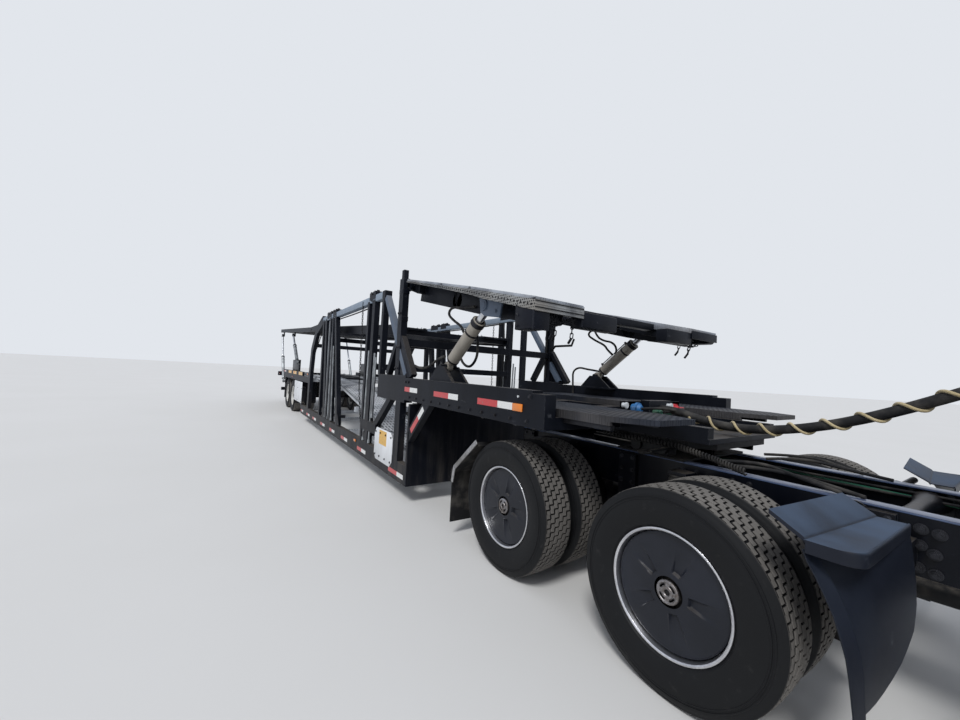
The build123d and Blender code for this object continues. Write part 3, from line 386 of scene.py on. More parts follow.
def woven(name, base, pale, scale=700):
    """Woven seat cloth or rope fibre."""
    finish = Finish(name, Sheen_Weight=0.25, Specular_IOR_Level=0.3)
    x, y, z = finish.axes()
    warp = finish.node("ShaderNodeMath", {"operation": "SINE"}, [(x + z) * scale, 0.0])
    weft = finish.node("ShaderNodeMath", {"operation": "SINE"}, [(y + z) * scale, 0.0])
    weave = finish.step(warp * weft, -0.6, 0.6)
    soil = finish.step(finish.noise(9, 4), 0.4, 0.75)
    colour = finish.tint(weave * 0.5 + soil * 0.4, base, pale)
    return finish.feed(Base_Color=colour, Roughness=0.85 + soil * 0.1, Normal=finish.bump(weave, 0.0006,
        0.6))


def floor_finish():
    finish = Finish("floor", Specular_IOR_Level=0.2)
    soft = finish.noise(0.4, 3)
    colour = finish.tint(soft, (206, 205, 202), (212, 211, 209))
    return finish.feed(Base_Color=colour, Roughness=0.85 + soft * 0.1)


TRAILER_PAINT = steel_paint("trailer_paint", (13, 16, 23), (23, 26, 34), (98, 100, 105), 0.38,
    0.26, 0.7, shine=0.14)
POST_PAINT = steel_paint("post_paint", (10, 12, 20), (20, 23, 32), (90, 92, 98), 0.36, 0.25, 0.6,
    shine=0.16)
FRAME_PAINT = steel_paint("frame_paint", (7, 9, 16), (12, 15, 23), (80, 84, 94), 0.3, 0.18, 0.5,
    0.1, 0.15)
# Blue of the rail flanges: a painted sky reflection on the black rails' top edges
RAIL_SKY_REFLECTION = steel_paint("rail_sky_reflection", (50, 66, 98), (74, 92, 124), (96, 104, 118), 0.24, 0.2, 0.4,
    0.5, 0.5)
# Light grey-blue of the truss rails: a painted sky reflection on glossy black paint
TRUSS_SKY_REFLECTION = steel_paint("truss_sky_reflection", (116, 130, 146), (134, 146, 158), (76, 76, 80), 0.4, 0.3,
    0.8)
# Slate blue: on the front braces a painted sky reflection on black paint; the ramp's eye plates share it
SLATE_AND_SKY_REFLECTION = steel_paint("slate_and_sky_reflection", (66, 80, 98), (84, 96, 112), (48, 48, 52), 0.4, 0.3, 0.6)
CAB_PAINT = steel_paint("cab_paint", (232, 233, 234), (222, 223, 224), (200, 200, 198), 0.22, 0.2,
    0.1, 0.8)
WHEEL_PAINT = steel_paint("wheel_paint", (222, 222, 218), (196, 194, 188), (120, 104, 90), 0.35,
    0.4, 0.6)
CAST_PAINT = steel_paint("cast_paint", (20, 21, 23), (36, 35, 34), (84, 76, 70), 0.5, 0.45, 0.6,
    shine=0.3)
DARK_STEEL = bare_metal("dark_steel", (54, 55, 60), (30, 29, 31), 0.4, metal=0.7)
# Near-black, used as painted shade in holes, slots and vents, and as the own colour of black clamps, hooks
# and dials
SHADOW_BLACK = moulded_plastic("shadow_black", (9, 9, 11), (15, 15, 17), 0.6, 0.1)
TRIM_BLACK = moulded_plastic("satin_black", (16, 17, 20), (24, 25, 28), 0.3, 0.25)
RAMP_STEEL = waffle_steel("ramp_steel", (170, 176, 184), (122, 126, 134), (24, 25, 28), 0.35)
EDGE_STEEL = waffle_steel("edge_steel", (150, 152, 152), (84, 86, 90), (30, 31, 34), 0.5, 0.022,
    0.3, True)
NOSE_STEEL = waffle_steel("nose_steel", (40, 45, 56), (28, 31, 39), (8, 9, 12), 0.2)
# The lower deck's runway plate: its own light grey, raised further as a painted highlight of sun glints
SUNLIT_DECK_STEEL = slatted_steel("sunlit_deck_steel", (206, 209, 213), (160, 164, 170), (26, 27, 30), 0.3)
TYRE_RUBBER = tread_rubber()
BLACK_RUBBER = rubber("black_rubber", (20, 20, 22))
GREEN_HOSE = rubber("green_hose", (28, 92, 70), 0.4)
BLUE_PLASTIC = rubber("blue_coupling", (46, 112, 170), 0.4)
RED_PLASTIC = rubber("red_coupling", (190, 44, 54), 0.4)
COVER_PLASTIC = moulded_plastic("cover_plastic", (20, 23, 31), (30, 33, 42), 0.34, 0.15, shine=0.35)
# The fenders' bluish film on their tops is a painted sky reflection, not dust
FENDER_PLASTIC = moulded_plastic("fender_plastic", (19, 23, 33), (27, 32, 43), 0.38, 0.75,
    (78, 94, 116), 0.25)
TRIM_PLASTIC = moulded_plastic("trim_plastic", (34, 35, 38), (46, 47, 50), 0.45, 0.3)
PLATE_WHITE = steel_paint("plate_white", (226, 228, 230), (206, 208, 210), (150, 146, 140), 0.4,
    0.2, 0.3)
BRIGHT = bare_metal("bright_rim", (232, 232, 234), (196, 196, 200), 0.2)
STEEL = bare_metal("plain_steel", (190, 190, 192), (132, 130, 128), 0.3)
GALVANISED = bare_metal("galvanised", (176, 180, 182), (128, 130, 132), 0.38)
ROD_STEEL = bare_metal("rod_chrome", (232, 234, 236), (200, 202, 206), 0.12)
CAP_METAL = bare_metal("cap_metal", (172, 172, 176), (112, 104, 98), 0.34)
WORN_CYLINDER = steel_paint("worn_cylinder", (140, 134, 124), (164, 158, 146), (84, 80, 74), 0.45,
    0.3)
GLASS = clear_glass("window_glass", (208, 218, 220))
RED_LENS = lamp_lens("red_lens", (176, 22, 22), (120, 10, 12))
AMBER_LENS = lamp_lens("amber_lens", (236, 138, 30), (190, 92, 14))
CLEAR_LENS = lamp_lens("clear_lens", (224, 228, 230), (180, 186, 190))
RED_TAPE = tape("red_tape", (196, 48, 52), (150, 26, 34))
WHITE_TAPE = tape("white_tape", (226, 226, 222), (190, 192, 194))
YELLOW_TAPE = tape("yellow_label", (222, 172, 52), (190, 138, 34))
SEAT_CLOTH = woven("seat_cloth", (44, 46, 52), (70, 72, 78))
ROPE_FIBRE = woven("rope_fibre", (158, 142, 104), (212, 196, 158), 1900)

NODE_FINISHES = {"frame_black": FRAME_PAINT, "trailer_black": TRAILER_PAINT, "cab_paint": CAB_PAINT,
    "runway_steel": SUNLIT_DECK_STEEL, "tyre": TYRE_RUBBER, "drive_wheel": COVER_PLASTIC,
    "front_wheel": WHEEL_PAINT, "trailer_wheel": WHEEL_PAINT, "cast_metal": CAST_PAINT, "glass": GLASS,
    "seat_fabric": SEAT_CLOTH, "dash_plastic": TRIM_PLASTIC, "fender_plastic": FENDER_PLASTIC,
    "bumper_plastic": TRIM_PLASTIC, "tank_metal": GALVANISED, "grille_black": TRIM_PLASTIC,
    "lamp_glass": CLEAR_LENS, "barrel_paint": TRAILER_PAINT, "rod_steel": ROD_STEEL,
    "line_wrap": BLACK_RUBBER, "line_flap": BLACK_RUBBER,}


# Nodes whose finish isn't the one of their slot
NODE_OWN = {"front_runways": NOSE_STEEL, "ramp_barrels": WORN_CYLINDER, "tail_barrels": GALVANISED,
    "prop_barrels": GALVANISED}


def dress_nodes():
    """Gives every carried-over node the finish of its material slot."""
    for row in frame["record"]["subparts"]:
        node = frame["nodes"][row["node"]]
        finish = NODE_OWN.get(row["node"], NODE_FINISHES[row["material_slot"]])
        for slot in node.material_slots:
            slot.material = finish
        if not node.material_slots:
            node.data.materials.append(finish)


# Shapes


def box(bm, low, high, bevel=0.0, segments=2):
    """A block between two corners, its edges rounded by the bevel."""
    low, high = Vector(low), Vector(high)
    size = [abs(b - a) for a, b in zip(low, high)]
    matrix = Matrix.Translation((low + high) / 2) @ Matrix.Diagonal((*size, 1))
    verts = bmesh.ops.create_cube(bm, size=1, matrix=matrix)["verts"]
    if bevel:
        edges = list({edge for vert in verts for edge in vert.link_edges})
        round_edges(bm, edges, bevel, segments)
    return verts


def boxes(bm, *rows):
    """Blocks from rows of two corners' stations, sides and heights, then the bevel and its segments."""
    for x0, y0, z0, x1, y1, z1, *rest in rows:
        box(bm, at(x0, y0, z0), at(x1, y1, z1), *rest)


def round_edges(bm, edges, width, segments=2):
    return bmesh.ops.bevel(bm, geom=edges, offset=width, offset_type="OFFSET", segments=segments,
        profile=0.5, affect="EDGES", clamp_overlap=True, material=-1)


def rod(bm, start, end, radius, sides=16, end_radius=None):
    """A round bar or a cone between two points."""
    axis = end - start
    turn = axis.to_track_quat("Z", "Y").to_matrix().to_4x4()
    matrix = Matrix.Translation((start + end) / 2) @ turn
    tip = radius if end_radius is None else end_radius
    return bmesh.ops.create_cone(bm, cap_ends=True, segments=sides, radius1=radius, radius2=tip,
        depth=axis.length, matrix=matrix)["verts"]


def rods(bm, *rows):
    """Round bars from rows of two ends' stations, sides and heights, then the radius and sides."""
    for x0, y0, z0, x1, y1, z1, *rest in rows:
        rod(bm, at(x0, y0, z0), at(x1, y1, z1), *rest)


def bolt(bm, place, axis, size=0.012, washer=True):
    """A hexagon bolt head on its washer, standing on a surface."""
    axis = Vector(axis).normalized()
    if washer:
        rod(bm, place, place + axis * size * 0.25, size * 1.35, 12)
    rod(bm, place, place + axis * size * 1.05, size, 6)


def slab(bm, outline, depth, bevel=0.0):
    """A flat outline of points carried along a vector."""
    face = bm.faces.new([bm.verts.new(point) for point in outline])
    grown = bmesh.ops.extrude_face_region(bm, geom=[face])["geom"]
    verts = [part for part in grown if isinstance(part, bmesh.types.BMVert)]
    bmesh.ops.translate(bm, vec=depth, verts=verts)
    faces = {f for v in verts + list(face.verts) for f in v.link_faces}
    bmesh.ops.recalc_face_normals(bm, faces=list(faces))
    if bevel:
        round_edges(bm, list({e for f in faces for e in f.edges}), bevel)


def bar(bm, start, end, width, depth, bevel=0.0):
    """A flat bar in side view between two points, its width square to its run, centred across."""
    run = (end - start).normalized()
    side = Vector((-run.z, 0, run.x)) * width / 2
    across = Vector((0, depth / 2, 0))
    slab(bm, [start + side - across, end + side - across, end - side - across, start - side - across],
        across * 2, bevel)


def sweep(bm, geom, centre, axis, steps):
    """Turns points and edges once round an axis."""
    bmesh.ops.spin(bm, geom=geom, cent=centre, axis=axis, dvec=(0, 0, 0), angle=2 * pi, steps=steps,
        use_merge=True, use_duplicate=False)


def turned(bm, points, centre, axis, steps, closed=False):
    """An outline of points from a centre, turned about an axis through it."""
    verts = [bm.verts.new(centre + Vector(point)) for point in points]
    edges = [bm.edges.new(pair) for pair in zip(verts, verts[1:])]
    if closed:
        edges.append(bm.edges.new((verts[-1], verts[0])))
    sweep(bm, verts + edges, centre, axis, steps)


def lathe(bm, profile, centre, steps=64, closed=False):
    """A profile of (offset across, radius) turned about the crosswise axis."""
    turned(bm, [(0, y, r) for y, r in profile], centre, (0, 1, 0), steps, closed)


def lathe_x(bm, profile, centre, steps=36):
    """A profile of (offset forward, radius) turned about the lengthwise axis."""
    turned(bm, [(x, 0, r) for x, r in profile], centre, (1, 0, 0), steps)


def lathe_z(bm, profile, centre, steps=32):
    """A profile of (height, radius) turned about the upright axis."""
    turned(bm, [(r, 0, z) for z, r in profile], centre, (0, 0, 1), steps)


def steps_of(count, first, pitch):
    return [first + step * pitch for step in range(count)]


def plate(bm, y, depth, outline, bevel=0.0):
    """A flat plate in side view, from a side outward, with its outline as stations and heights."""
    slab(bm, [at(x, y, z) for x, z in outline], Vector((0, depth, 0)), bevel)


def clean(bm, distance=0.0001):
    bmesh.ops.remove_doubles(bm, verts=bm.verts, dist=distance)
    bmesh.ops.recalc_face_normals(bm, faces=bm.faces)


def mirror_side(bm):
    """Turns the mesh into the truck's other side."""
    bmesh.ops.scale(bm, vec=(1, -1, 1), verts=bm.verts)
    bmesh.ops.reverse_faces(bm, faces=bm.faces)


def both_sides(bm):
    """Adds the other side's copy of all that the mesh holds."""
    copy = bmesh.ops.duplicate(bm, geom=bm.verts[:] + bm.edges[:] + bm.faces[:])["geom"]
    bmesh.ops.scale(bm, vec=(1, -1, 1), verts=[p for p in copy if isinstance(p, bmesh.types.BMVert)])
    bmesh.ops.reverse_faces(bm, faces=[p for p in copy if isinstance(p, bmesh.types.BMFace)])


def settle(name, mesh, finish, body, crease=35):
    """A finished mesh as a piece that rides on a body."""
    mesh.materials.clear()
    mesh.materials.append(finish)
    mesh.shade_smooth()
    mesh.set_sharp_from_angle(angle=radians(crease))
    piece = bpy.data.objects.new(name, mesh)
    scene.collection.objects.link(piece)
    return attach(piece, body)


def piece(name, bm, finish, body, slot, crease=35):
    mesh = bpy.data.meshes.new(name)
    bm.to_mesh(mesh)
    bm.free()
    return settle(name, mesh, finish, body, crease)


def tube(name, lines, radius, resolution=8):
    """The mesh of smooth tubes through lists of control points."""
    curve = bpy.data.curves.new(name, "CURVE")
    curve.dimensions = "3D"
    curve.bevel_depth = radius
    curve.bevel_resolution = 3
    curve.resolution_u = curve.render_resolution_u = resolution
    curve.use_fill_caps = radius > 0
    for points in lines:
        line = curve.splines.new("NURBS")
        line.points.add(len(points) - 1)
        for spot, point in zip(line.points, points):
            spot.co = (*point, 1)
        line.order_u = 3
        line.use_endpoint_u = True
    holder = bpy.data.objects.new(name, curve)
    scene.collection.objects.link(holder)
    mesh = bpy.data.meshes.new_from_object(holder)
    bpy.data.objects.remove(holder)
    return mesh


def hoses(name, lines, radius, finish, body):
    """Fixed hoses, each a smooth tube through its own points."""
    return settle(name, tube(name, lines, radius), finish, body)


def merge_in(bm, part, matrix=None):
    """Adds a separate mesh, moved by a matrix, and frees it."""
    if matrix:
        bmesh.ops.transform(part, matrix=matrix, verts=part.verts)
    mesh = bpy.data.meshes.new("part")
    part.to_mesh(mesh)
    part.free()
    bm.from_mesh(mesh)
    bpy.data.meshes.remove(mesh)


def ribbon(bm, rows, thickness):
    """A curved plate through rows of points, all rows of one length."""
    sheet = bmesh.new()
    bmesh.ops.create_grid(sheet, x_segments=len(rows[0]) - 1, y_segments=len(rows) - 1, size=1)
    for vert, point in zip(sheet.verts, [point for row in rows for point in row]):
        vert.co = point
    bmesh.ops.recalc_face_normals(sheet, faces=sheet.faces)
    bmesh.ops.solidify(sheet, geom=sheet.faces[:], thickness=thickness)
    bmesh.ops.recalc_face_normals(sheet, faces=sheet.faces)
    merge_in(bm, sheet)


def tube_ring(bm, centre, axis, radius, thick, steps=32, sides=10):
    """A round ring about an axis."""
    axis = Vector(axis).normalized()
    side = axis.orthogonal().normalized()
    turn = side.cross(axis).to_track_quat("Z", "Y").to_matrix().to_4x4()
    ring = bmesh.new()
    bmesh.ops.create_circle(ring, cap_ends=False, segments=sides, radius=thick,
        matrix=Matrix.Translation(side * radius) @ turn)
    sweep(ring, ring.verts[:] + ring.edges[:], (0, 0, 0), axis, steps)
    merge_in(bm, ring, Matrix.Translation(centre))


def between(value, table):
    """Reads a table of (key, value) rows along straight lines."""
    for (a, p), (b, q) in zip(table, table[1:]):
        if value <= b:
            return p + (q - p) * max(0.0, (value - a) / (b - a))
    return table[-1][1]


def chain(bm, start, end, sag, pitch=0.034, wire=0.0045):
    """A chain of oval links that hangs between two points."""
    link = bmesh.new()
    tube_ring(link, Vector((0, 0, 0)), (0, 0, 1), 0.011, wire, 10, 5)
    for vert in link.verts:
        vert.co.x += (1 if vert.co.x > 0 else -1) * (pitch / 2 - 0.011 + wire)
    run = end - start
    count = max(2, round(run.length / pitch))
    for step in range(count):
        share = (step + 0.5) / count
        spot = start + run * share - Vector((0, 0, sag * 4 * share * (1 - share)))
        ahead = (run - Vector((0, 0, sag * 4 * (1 - 2 * share)))).normalized()
        side = ahead.orthogonal().normalized()
        if step % 2:
            side = ahead.cross(side)
        turn = Matrix((ahead, side, ahead.cross(side))).transposed().to_4x4()
        merge_in(bm, link.copy(), Matrix.Translation(spot) @ turn)
    link.free()


def form(name, finish, body, slot, shapes, crease=35, sides=2):
    """A piece made by calling a shape function on an empty mesh, on one side or on both."""
    bm = bmesh.new()
    shapes(bm)
    clean(bm, 0.00001)
    if sides == 2:
        both_sides(bm)
    return piece(name, bm, finish, body, slot, crease)


# Wheels and tyres

# Half of a tyre's outline, as (offset from its middle, radius), from the bead to the tread's edge
SIDEWALL = [(0.098, 0.291), (0.11, 0.298), (0.1175, 0.309), (0.122, 0.312), (0.1235, 0.319),
    (0.1285, 0.336), (0.1345, 0.36), (0.1385, 0.385), (0.14, 0.408), (0.1385, 0.428), (0.1376, 0.433),
    (0.1398, 0.4342), (0.1392, 0.439), (0.1352, 0.4402), (0.1342, 0.447), (0.1366, 0.4482), (0.1352, 0.453),
    (0.1318, 0.4545), (0.127, 0.47), (0.1205, 0.479), (0.1195, 0.485), (0.115, 0.4895)]
BLOCKS_ROUND = 52
RIB_PITCH = 0.0375
RIB_WIDTH = 0.0288
BLOCK_GAP = 0.0105
BLOCK_SHIFT = 0.0024
GROOVE_DEPTH = 0.013
TREAD_HALF = 0.1115


def crown(y):
    return TYRE_RADIUS - 0.0045 * (y / TREAD_HALF) ** 2


def tyre(bm, centre, blocky):
    """One tyre with its tread, as separate blocks on a drive tyre and as ribs on the others."""
    inward = [(-y, r) for y, r in SIDEWALL]
    floor = crown(0) - GROOVE_DEPTH
    if blocky:
        tread = [(-TREAD_HALF, 0.489), (-TREAD_HALF + 0.002, floor), (TREAD_HALF - 0.002, floor),
            (TREAD_HALF, 0.489)]
    else:
        tread = []
        for rib in range(-2, 3):
            y = rib * 0.0445
            half = 0.0185
            tread += [(y - half, floor), (y - half, crown(y - half)), (y, crown(y)),
                (y + half, crown(y + half)), (y + half, floor)]
        tread = tread[1:-1]
    lathe(bm, inward + tread + SIDEWALL[::-1], centre, 96)
    if not blocky:
        return
    for rib in range(6):
        shift = pi / BLOCKS_ROUND * (rib % 2)
        for half in (-1, 1):
            y = (rib - 2.5) * RIB_PITCH + half * BLOCK_SHIFT
            top = crown(abs(y) + RIB_WIDTH / 2)
            length = 2 * pi * top / BLOCKS_ROUND - BLOCK_GAP
            low = Vector((min(0, half) * length / 2, y - RIB_WIDTH / 2, floor - 0.003))
            high = Vector((max(0, half) * length / 2, y + RIB_WIDTH / 2, top))
            verts = box(bm, low, high)
            upper = [edge for edge in {e for v in verts for e in v.link_edges} if all(v.co.z > top - 0.001
                for v in edge.verts) and abs(edge.verts[0].co.y - edge.verts[1].co.y) < 0.001]
            made = round_edges(bm, upper, 0.0016, 1)
            verts = list({v for v in verts if v.is_valid} | set(made["verts"]))
            bmesh.ops.rotate(bm, cent=(0, 0, 0), matrix=Matrix.Rotation(shift, 3, "Y"), verts=verts)
            bmesh.ops.translate(bm, vec=centre, verts=verts)
            faces = list({f for v in verts for f in v.link_faces})
            edges = list({e for f in faces for e in f.edges})
            bmesh.ops.spin(bm, geom=verts + edges + faces, cent=centre, axis=(0, 1, 0), dvec=(0, 0, 0),
                angle=2 * pi * (BLOCKS_ROUND - 1) / BLOCKS_ROUND, steps=BLOCKS_ROUND - 1, use_merge=False,
                use_duplicate=True)


def mark_road(mesh, centre):
    """Marks how near each point is to the road's side of the tread, for the dust on it."""
    layer = mesh.attributes.new("road", "FLOAT", "POINT")
    for spot, vert in zip(layer.data, mesh.vertices):
        reach = hypot(vert.co.x - centre.x, vert.co.z - centre.z)
        spot.value = min(1.0, max(0.0, (reach - TYRE_RADIUS + 0.0125) / 0.009))


def lug_nuts(bm, centre, face, circle, count=10, size=0.0165):
    """Wheel nuts on their studs, in a ring on a disc's outer face."""
    for turn in range(count):
        angle = 2 * pi * turn / count
        spot = centre + Vector((circle * sin(angle), face, circle * cos(angle)))
        rod(bm, spot, spot + Vector((0, 0.008, 0)), size * 1.25, 14)
        rod(bm, spot, spot + Vector((0, 0.026, 0)), size, 6)
        rod(bm, spot, spot + Vector((0, 0.04, 0)), size * 0.55, 10)


HAND_HOLES = 10
DISC_STEPS = 80


def disc_with_holes(bm, centre, profile, band):
    """A wheel disc turned from its profile, with hand holes where the band of radii is open."""
    rings = bmesh.new()
    lathe(rings, profile, Vector((0, 0, 0)), DISC_STEPS)
    clean(rings)
    per_hole = DISC_STEPS // HAND_HOLES
    gone = []
    for face in rings.faces:
        spot = face.calc_center_median()
        reach = hypot(spot.x, spot.z)
        turn = int((atan2(spot.x, spot.z) % (2 * pi)) / (2 * pi) * DISC_STEPS)
        if band[0] < reach < band[1] and 2 <= turn % per_hole <= 5:
            gone.append(face)
    bmesh.ops.delete(rings, geom=gone, context="FACES")
    rim = [e for e in rings.edges if e.is_boundary]
    corners = [v for v in {v for e in rim for v in e.verts}]
    bmesh.ops.smooth_vert(rings, verts=corners, factor=0.35, use_axis_x=True, use_axis_y=True,
        use_axis_z=True)
    bmesh.ops.solidify(rings, geom=rings.faces[:], thickness=0.01)
    bmesh.ops.recalc_face_normals(rings, faces=rings.faces)
    bmesh.ops.translate(rings, vec=centre, verts=rings.verts)
    merge_in(bm, rings)


def rim_barrel(bm, centre, y):
    """A rim's ring, from lip to lip, hollow inside."""
    outline = [(-0.118, 0.2985), (-0.11, 0.3), (-0.107, 0.2915), (-0.062, 0.286), (-0.04, 0.264),
        (0.04, 0.264), (0.062, 0.286), (0.107, 0.2915), (0.11, 0.3), (0.118, 0.2985), (0.1195, 0.292),
        (0.115, 0.286), (0.104, 0.283), (0.06, 0.278), (0.038, 0.256), (-0.038, 0.256), (-0.06, 0.278),
        (-0.104, 0.283), (-0.115, 0.286), (-0.1195, 0.292)]
    lathe(bm, [(y + dy, r) for dy, r in outline], centre, 80, closed=True)


def dual_wheels(bm, centre):
    rim_barrel(bm, centre, OUTER_TYRE)
    rim_barrel(bm, centre, INNER_TYRE)
    dish = [(0.945, 0.12), (0.945, 0.178), (0.952, 0.19), (0.968, 0.206), (0.984, 0.224), (0.994, 0.24),
        (1.002, 0.262)]
    disc_with_holes(bm, centre, dish, (0.186, 0.238))


def front_wheels(bm, centre):
    rim_barrel(bm, centre, FRONT_TYRE)
    dish = [(1.142, 0.09), (1.14, 0.178), (1.134, 0.192), (1.118, 0.208), (1.104, 0.226), (1.096, 0.242),
        (1.09, 0.262)]
    disc_with_holes(bm, centre, dish, (0.186, 0.238))


def hub(bm, centre, back, face, reach):
    """A hub with its flange, barrel and cap, and the brake drum behind it."""
    lathe(bm, [(back, 0.05), (back, 0.15), (face, 0.15), (face, 0.118), (face + 0.03, 0.104), (reach - 0.06,
        0.098), (reach - 0.055, 0.088), (reach - 0.02, 0.082), (reach - 0.012, 0.06), (reach, 0.05),
        (reach, 0.0001)], centre, 40)
    for turn in range(6):
        angle = 2 * pi * turn / 6
        spot = centre + Vector((0.07 * sin(angle), reach - 0.022, 0.07 * cos(angle)))
        bolt(bm, spot, (0, 1, 0), 0.007, False)


SCOOP_ANGLE = radians(19.6)
COVER_RECESS = 0.03
CAP_RECESS = 0.015


def scooped_cover(bm, centre, y):
    """A plastic wheel cover with five scoops that deepen towards the hub."""
    rings = [(-0.012, 0.276), (0.0, 0.2755), (0.003, 0.271), (0.0035, 0.265)]
    for reach in steps_of(24, 0.262, -0.0083):
        rings.append((0.0035 + 0.012 * (1 - reach / 0.262), reach))
    lathe(bm, rings, Vector((0, 0, 0)), 180)
    clean(bm)
    for vert in bm.verts:
        reach = hypot(vert.co.x, vert.co.z)
        if not 0.098 < reach < 0.25:
            continue
        angle = atan2(vert.co.x, vert.co.z) - SCOOP_ANGLE
        slot = (angle + pi / 5) % (2 * pi / 5) - pi / 5
        wide = 0.215 - 0.26 * (reach - 0.11)
        edge = max(0.0, 1 - (abs(slot) / wide) ** 8)
        inward = 1 - (reach - 0.098) / 0.152
        ridge = 0.004 * max(0.0, 1 - abs(abs(slot) - wide) / 0.06) * inward
        vert.co.y += ridge - 0.017 * inward ** 1.3 * edge
    bmesh.ops.translate(bm, vec=centre + Vector((0, y, 0)), verts=bm.verts)


def cover_cap(bm, centre, y):
    """The slotted metal cap at the middle of a cover."""
    lathe(bm, [(-0.004, 0.0575), (0.004, 0.056), (0.008, 0.051), (0.009, 0.0465), (0.006, 0.0435),
        (0.006, 0.0305), (0.01, 0.0275), (0.011, 0.0175), (0.007, 0.0135), (-0.004, 0.0125),
        (-0.006, 0.0001)], centre + Vector((0, y, 0)), 48)


def cap_slots(bm, centre, y):
    # The cap's slots and middle hole are thin near-black discs: painted shade
    for turn in range(4):
        angle = pi / 4 + turn * pi / 2
        lift = Matrix.Rotation(angle, 3, "Y")
        for part in range(-3, 4):
            spot = Matrix.Rotation(part * 0.12, 3, "Y") @ lift @ Vector((0, 0, 0.037))
            rod(bm, centre + spot + Vector((0, y, 0)), centre + spot + Vector((0, y + 0.0075, 0)), 0.0052,
                10)
    rod(bm, centre + Vector((0, y - 0.006, 0)), centre + Vector((0, y + 0.002, 0)), 0.0122, 20)


AXLES = [
    # wheel name, kind
    ("front", "front"),
    ("drive_1", "drive"),
    ("drive_2", "drive"),
    ("trailer_1", "trailer"),
    ("trailer_2", "trailer"),
]


def drive_rims(bm, centre):
    for y in (OUTER_TYRE, INNER_TYRE):
        rim_barrel(bm, centre, y)
    clean(bm)


def drive_drum(bm, centre):
    hub(bm, centre, 0.66, 0.93, 1.15)
    lathe(bm, [(0.64, 0.08), (0.64, 0.205), (0.86, 0.215), (0.93, 0.215), (0.93, 0.14), (0.945, 0.262),
        (0.965, 0.262), (0.965, 0.14)], centre, 48)
    clean(bm)


def front_hub(bm, centre):
    hub(bm, centre, 0.97, 1.142, 1.205)
    lug_nuts(bm, centre, 1.141, 0.1675)
    lathe(bm, [(0.95, 0.08), (0.95, 0.2), (1.1, 0.205), (1.1, 0.1)], centre, 48)


def trailer_hub(bm, centre):
    hub(bm, centre, 0.66, 0.945, 1.18)
    lug_nuts(bm, centre, 0.946, 0.1675)
    lathe(bm, [(0.64, 0.08), (0.64, 0.205), (0.86, 0.215), (0.94, 0.215), (0.94, 0.14)], centre, 48)


def make_wheels():
    lip = OUTER_TYRE + RIM_HALF
    parts = {
        "front": [("rims", front_wheels, WHEEL_PAINT, "front_wheel"),
            ("hub", front_hub, CAST_PAINT, "cast_metal")],
        "drive": [("rims", drive_rims, BRIGHT, "drive_wheel"),
            ("drum", drive_drum, CAST_PAINT, "cast_metal"),
            ("cover", lambda bm, centre: scooped_cover(bm, centre, lip - COVER_RECESS), COVER_PLASTIC,
                "drive_wheel", 30),
            ("cap", lambda bm, centre: cover_cap(bm, centre, lip - CAP_RECESS), CAP_METAL, "cast_metal"),
            ("cap_slots", lambda bm, centre: cap_slots(bm, centre, lip - CAP_RECESS), SHADOW_BLACK,
                "cast_metal")],
        "trailer": [("rims", dual_wheels, WHEEL_PAINT, "trailer_wheel"),
            ("hub", trailer_hub, CAST_PAINT, "cast_metal")],
    }
    for name, kind in AXLES:
        sides = [FRONT_TYRE] if kind == "front" else [OUTER_TYRE, INNER_TYRE]

        def rubber_shape(bm, centre):
            for y in sides:
                tyre(bm, centre + Vector((0, y, 0)), kind == "drive")
            bmesh.ops.recalc_face_normals(bm, faces=bm.faces)

        for side in ("left", "right"):
            label = name + "_" + side
            centre = Vector((middle("tyre_" + label).x, 0, AXLE_HEIGHT))

            def add(title, shape, finish, slot, crease=35):
                bm = bmesh.new()
                shape(bm, centre)
                if side == "right":
                    mirror_side(bm)
                part = piece(title + "_" + label, bm, finish, "wheel_" + label, slot, crease)
                if title in ("hub", "drum"):
                    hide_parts("wheel_" + label)
                return part

            tread = add("tyre_tread", rubber_shape, TYRE_RUBBER, "tyre", 40)
            mark_road(tread.data, centre)
            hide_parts("tyre_" + label)
            for row in parts[kind]:
                add(*row)


# Air and electric line bundle

LINE_RADIUS = 0.03
LINE_ROUTE = [(-0.78, 0, 1.296), (-0.65, 0, 1.296), (-0.47, 0, 1.246), (-0.26, 0, 1.216), (-0.02, 0, 1.23),
    (0.22, 0, 1.284), (0.46, 0, 1.372), (0.7, 0, 1.49), (0.96, 0, 1.63), (1.21, 0, 1.75), (1.42, 0, 1.812),
    (1.6, 0, 1.812)]
ROPE_PITCH = 0.17
ROPE_RADIUS = 0.0085


def route_line():
    """The bundle's centre line, read from its spline with no thickness."""
    mesh = tube("route", [[at(*point) for point in LINE_ROUTE]], 0, 24)
    return [vert.co.copy() for vert in mesh.vertices]


def bend_over_coupling(part):
    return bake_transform(part, "trailer", "tractor", start=at(-0.75, 0, 1.2), end=at(1.55, 0, 1.8))


def line_piece(name, mesh, finish):
    mesh.materials.clear()
    mesh.materials.append(finish)
    mesh.shade_smooth()
    part = bpy.data.objects.new(name, mesh)
    scene.collection.objects.link(part)
    return part


def make_line_bundle():
    """The wrapped lines, with a rope wound round them."""
    mesh = tube("air_line_bundle", [[at(*point) for point in LINE_ROUTE]], LINE_RADIUS, 12)
    bundle = line_piece("air_line_bundle", mesh, BLACK_RUBBER)
    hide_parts("air_lines")
    points = route_line()
    bend_over_coupling(bundle)

    spiral = []
    walked = 0.0
    for before, after in zip(points, points[1:]):
        run = after - before
        walked += run.length
        if walked < 0.25:
            continue
        side = Vector((0, 1, 0))
        above = run.normalized().cross(side)
        angle = 2 * pi * walked / ROPE_PITCH
        reach = LINE_RADIUS + ROPE_RADIUS * 0.8
        spiral.append(after + (side * cos(angle) + above * sin(angle)) * reach)
    bend_over_coupling(line_piece("line_rope", tube("line_rope", [spiral], ROPE_RADIUS, 3), ROPE_FIBRE))


# Quarter fenders ahead of the drive tyres

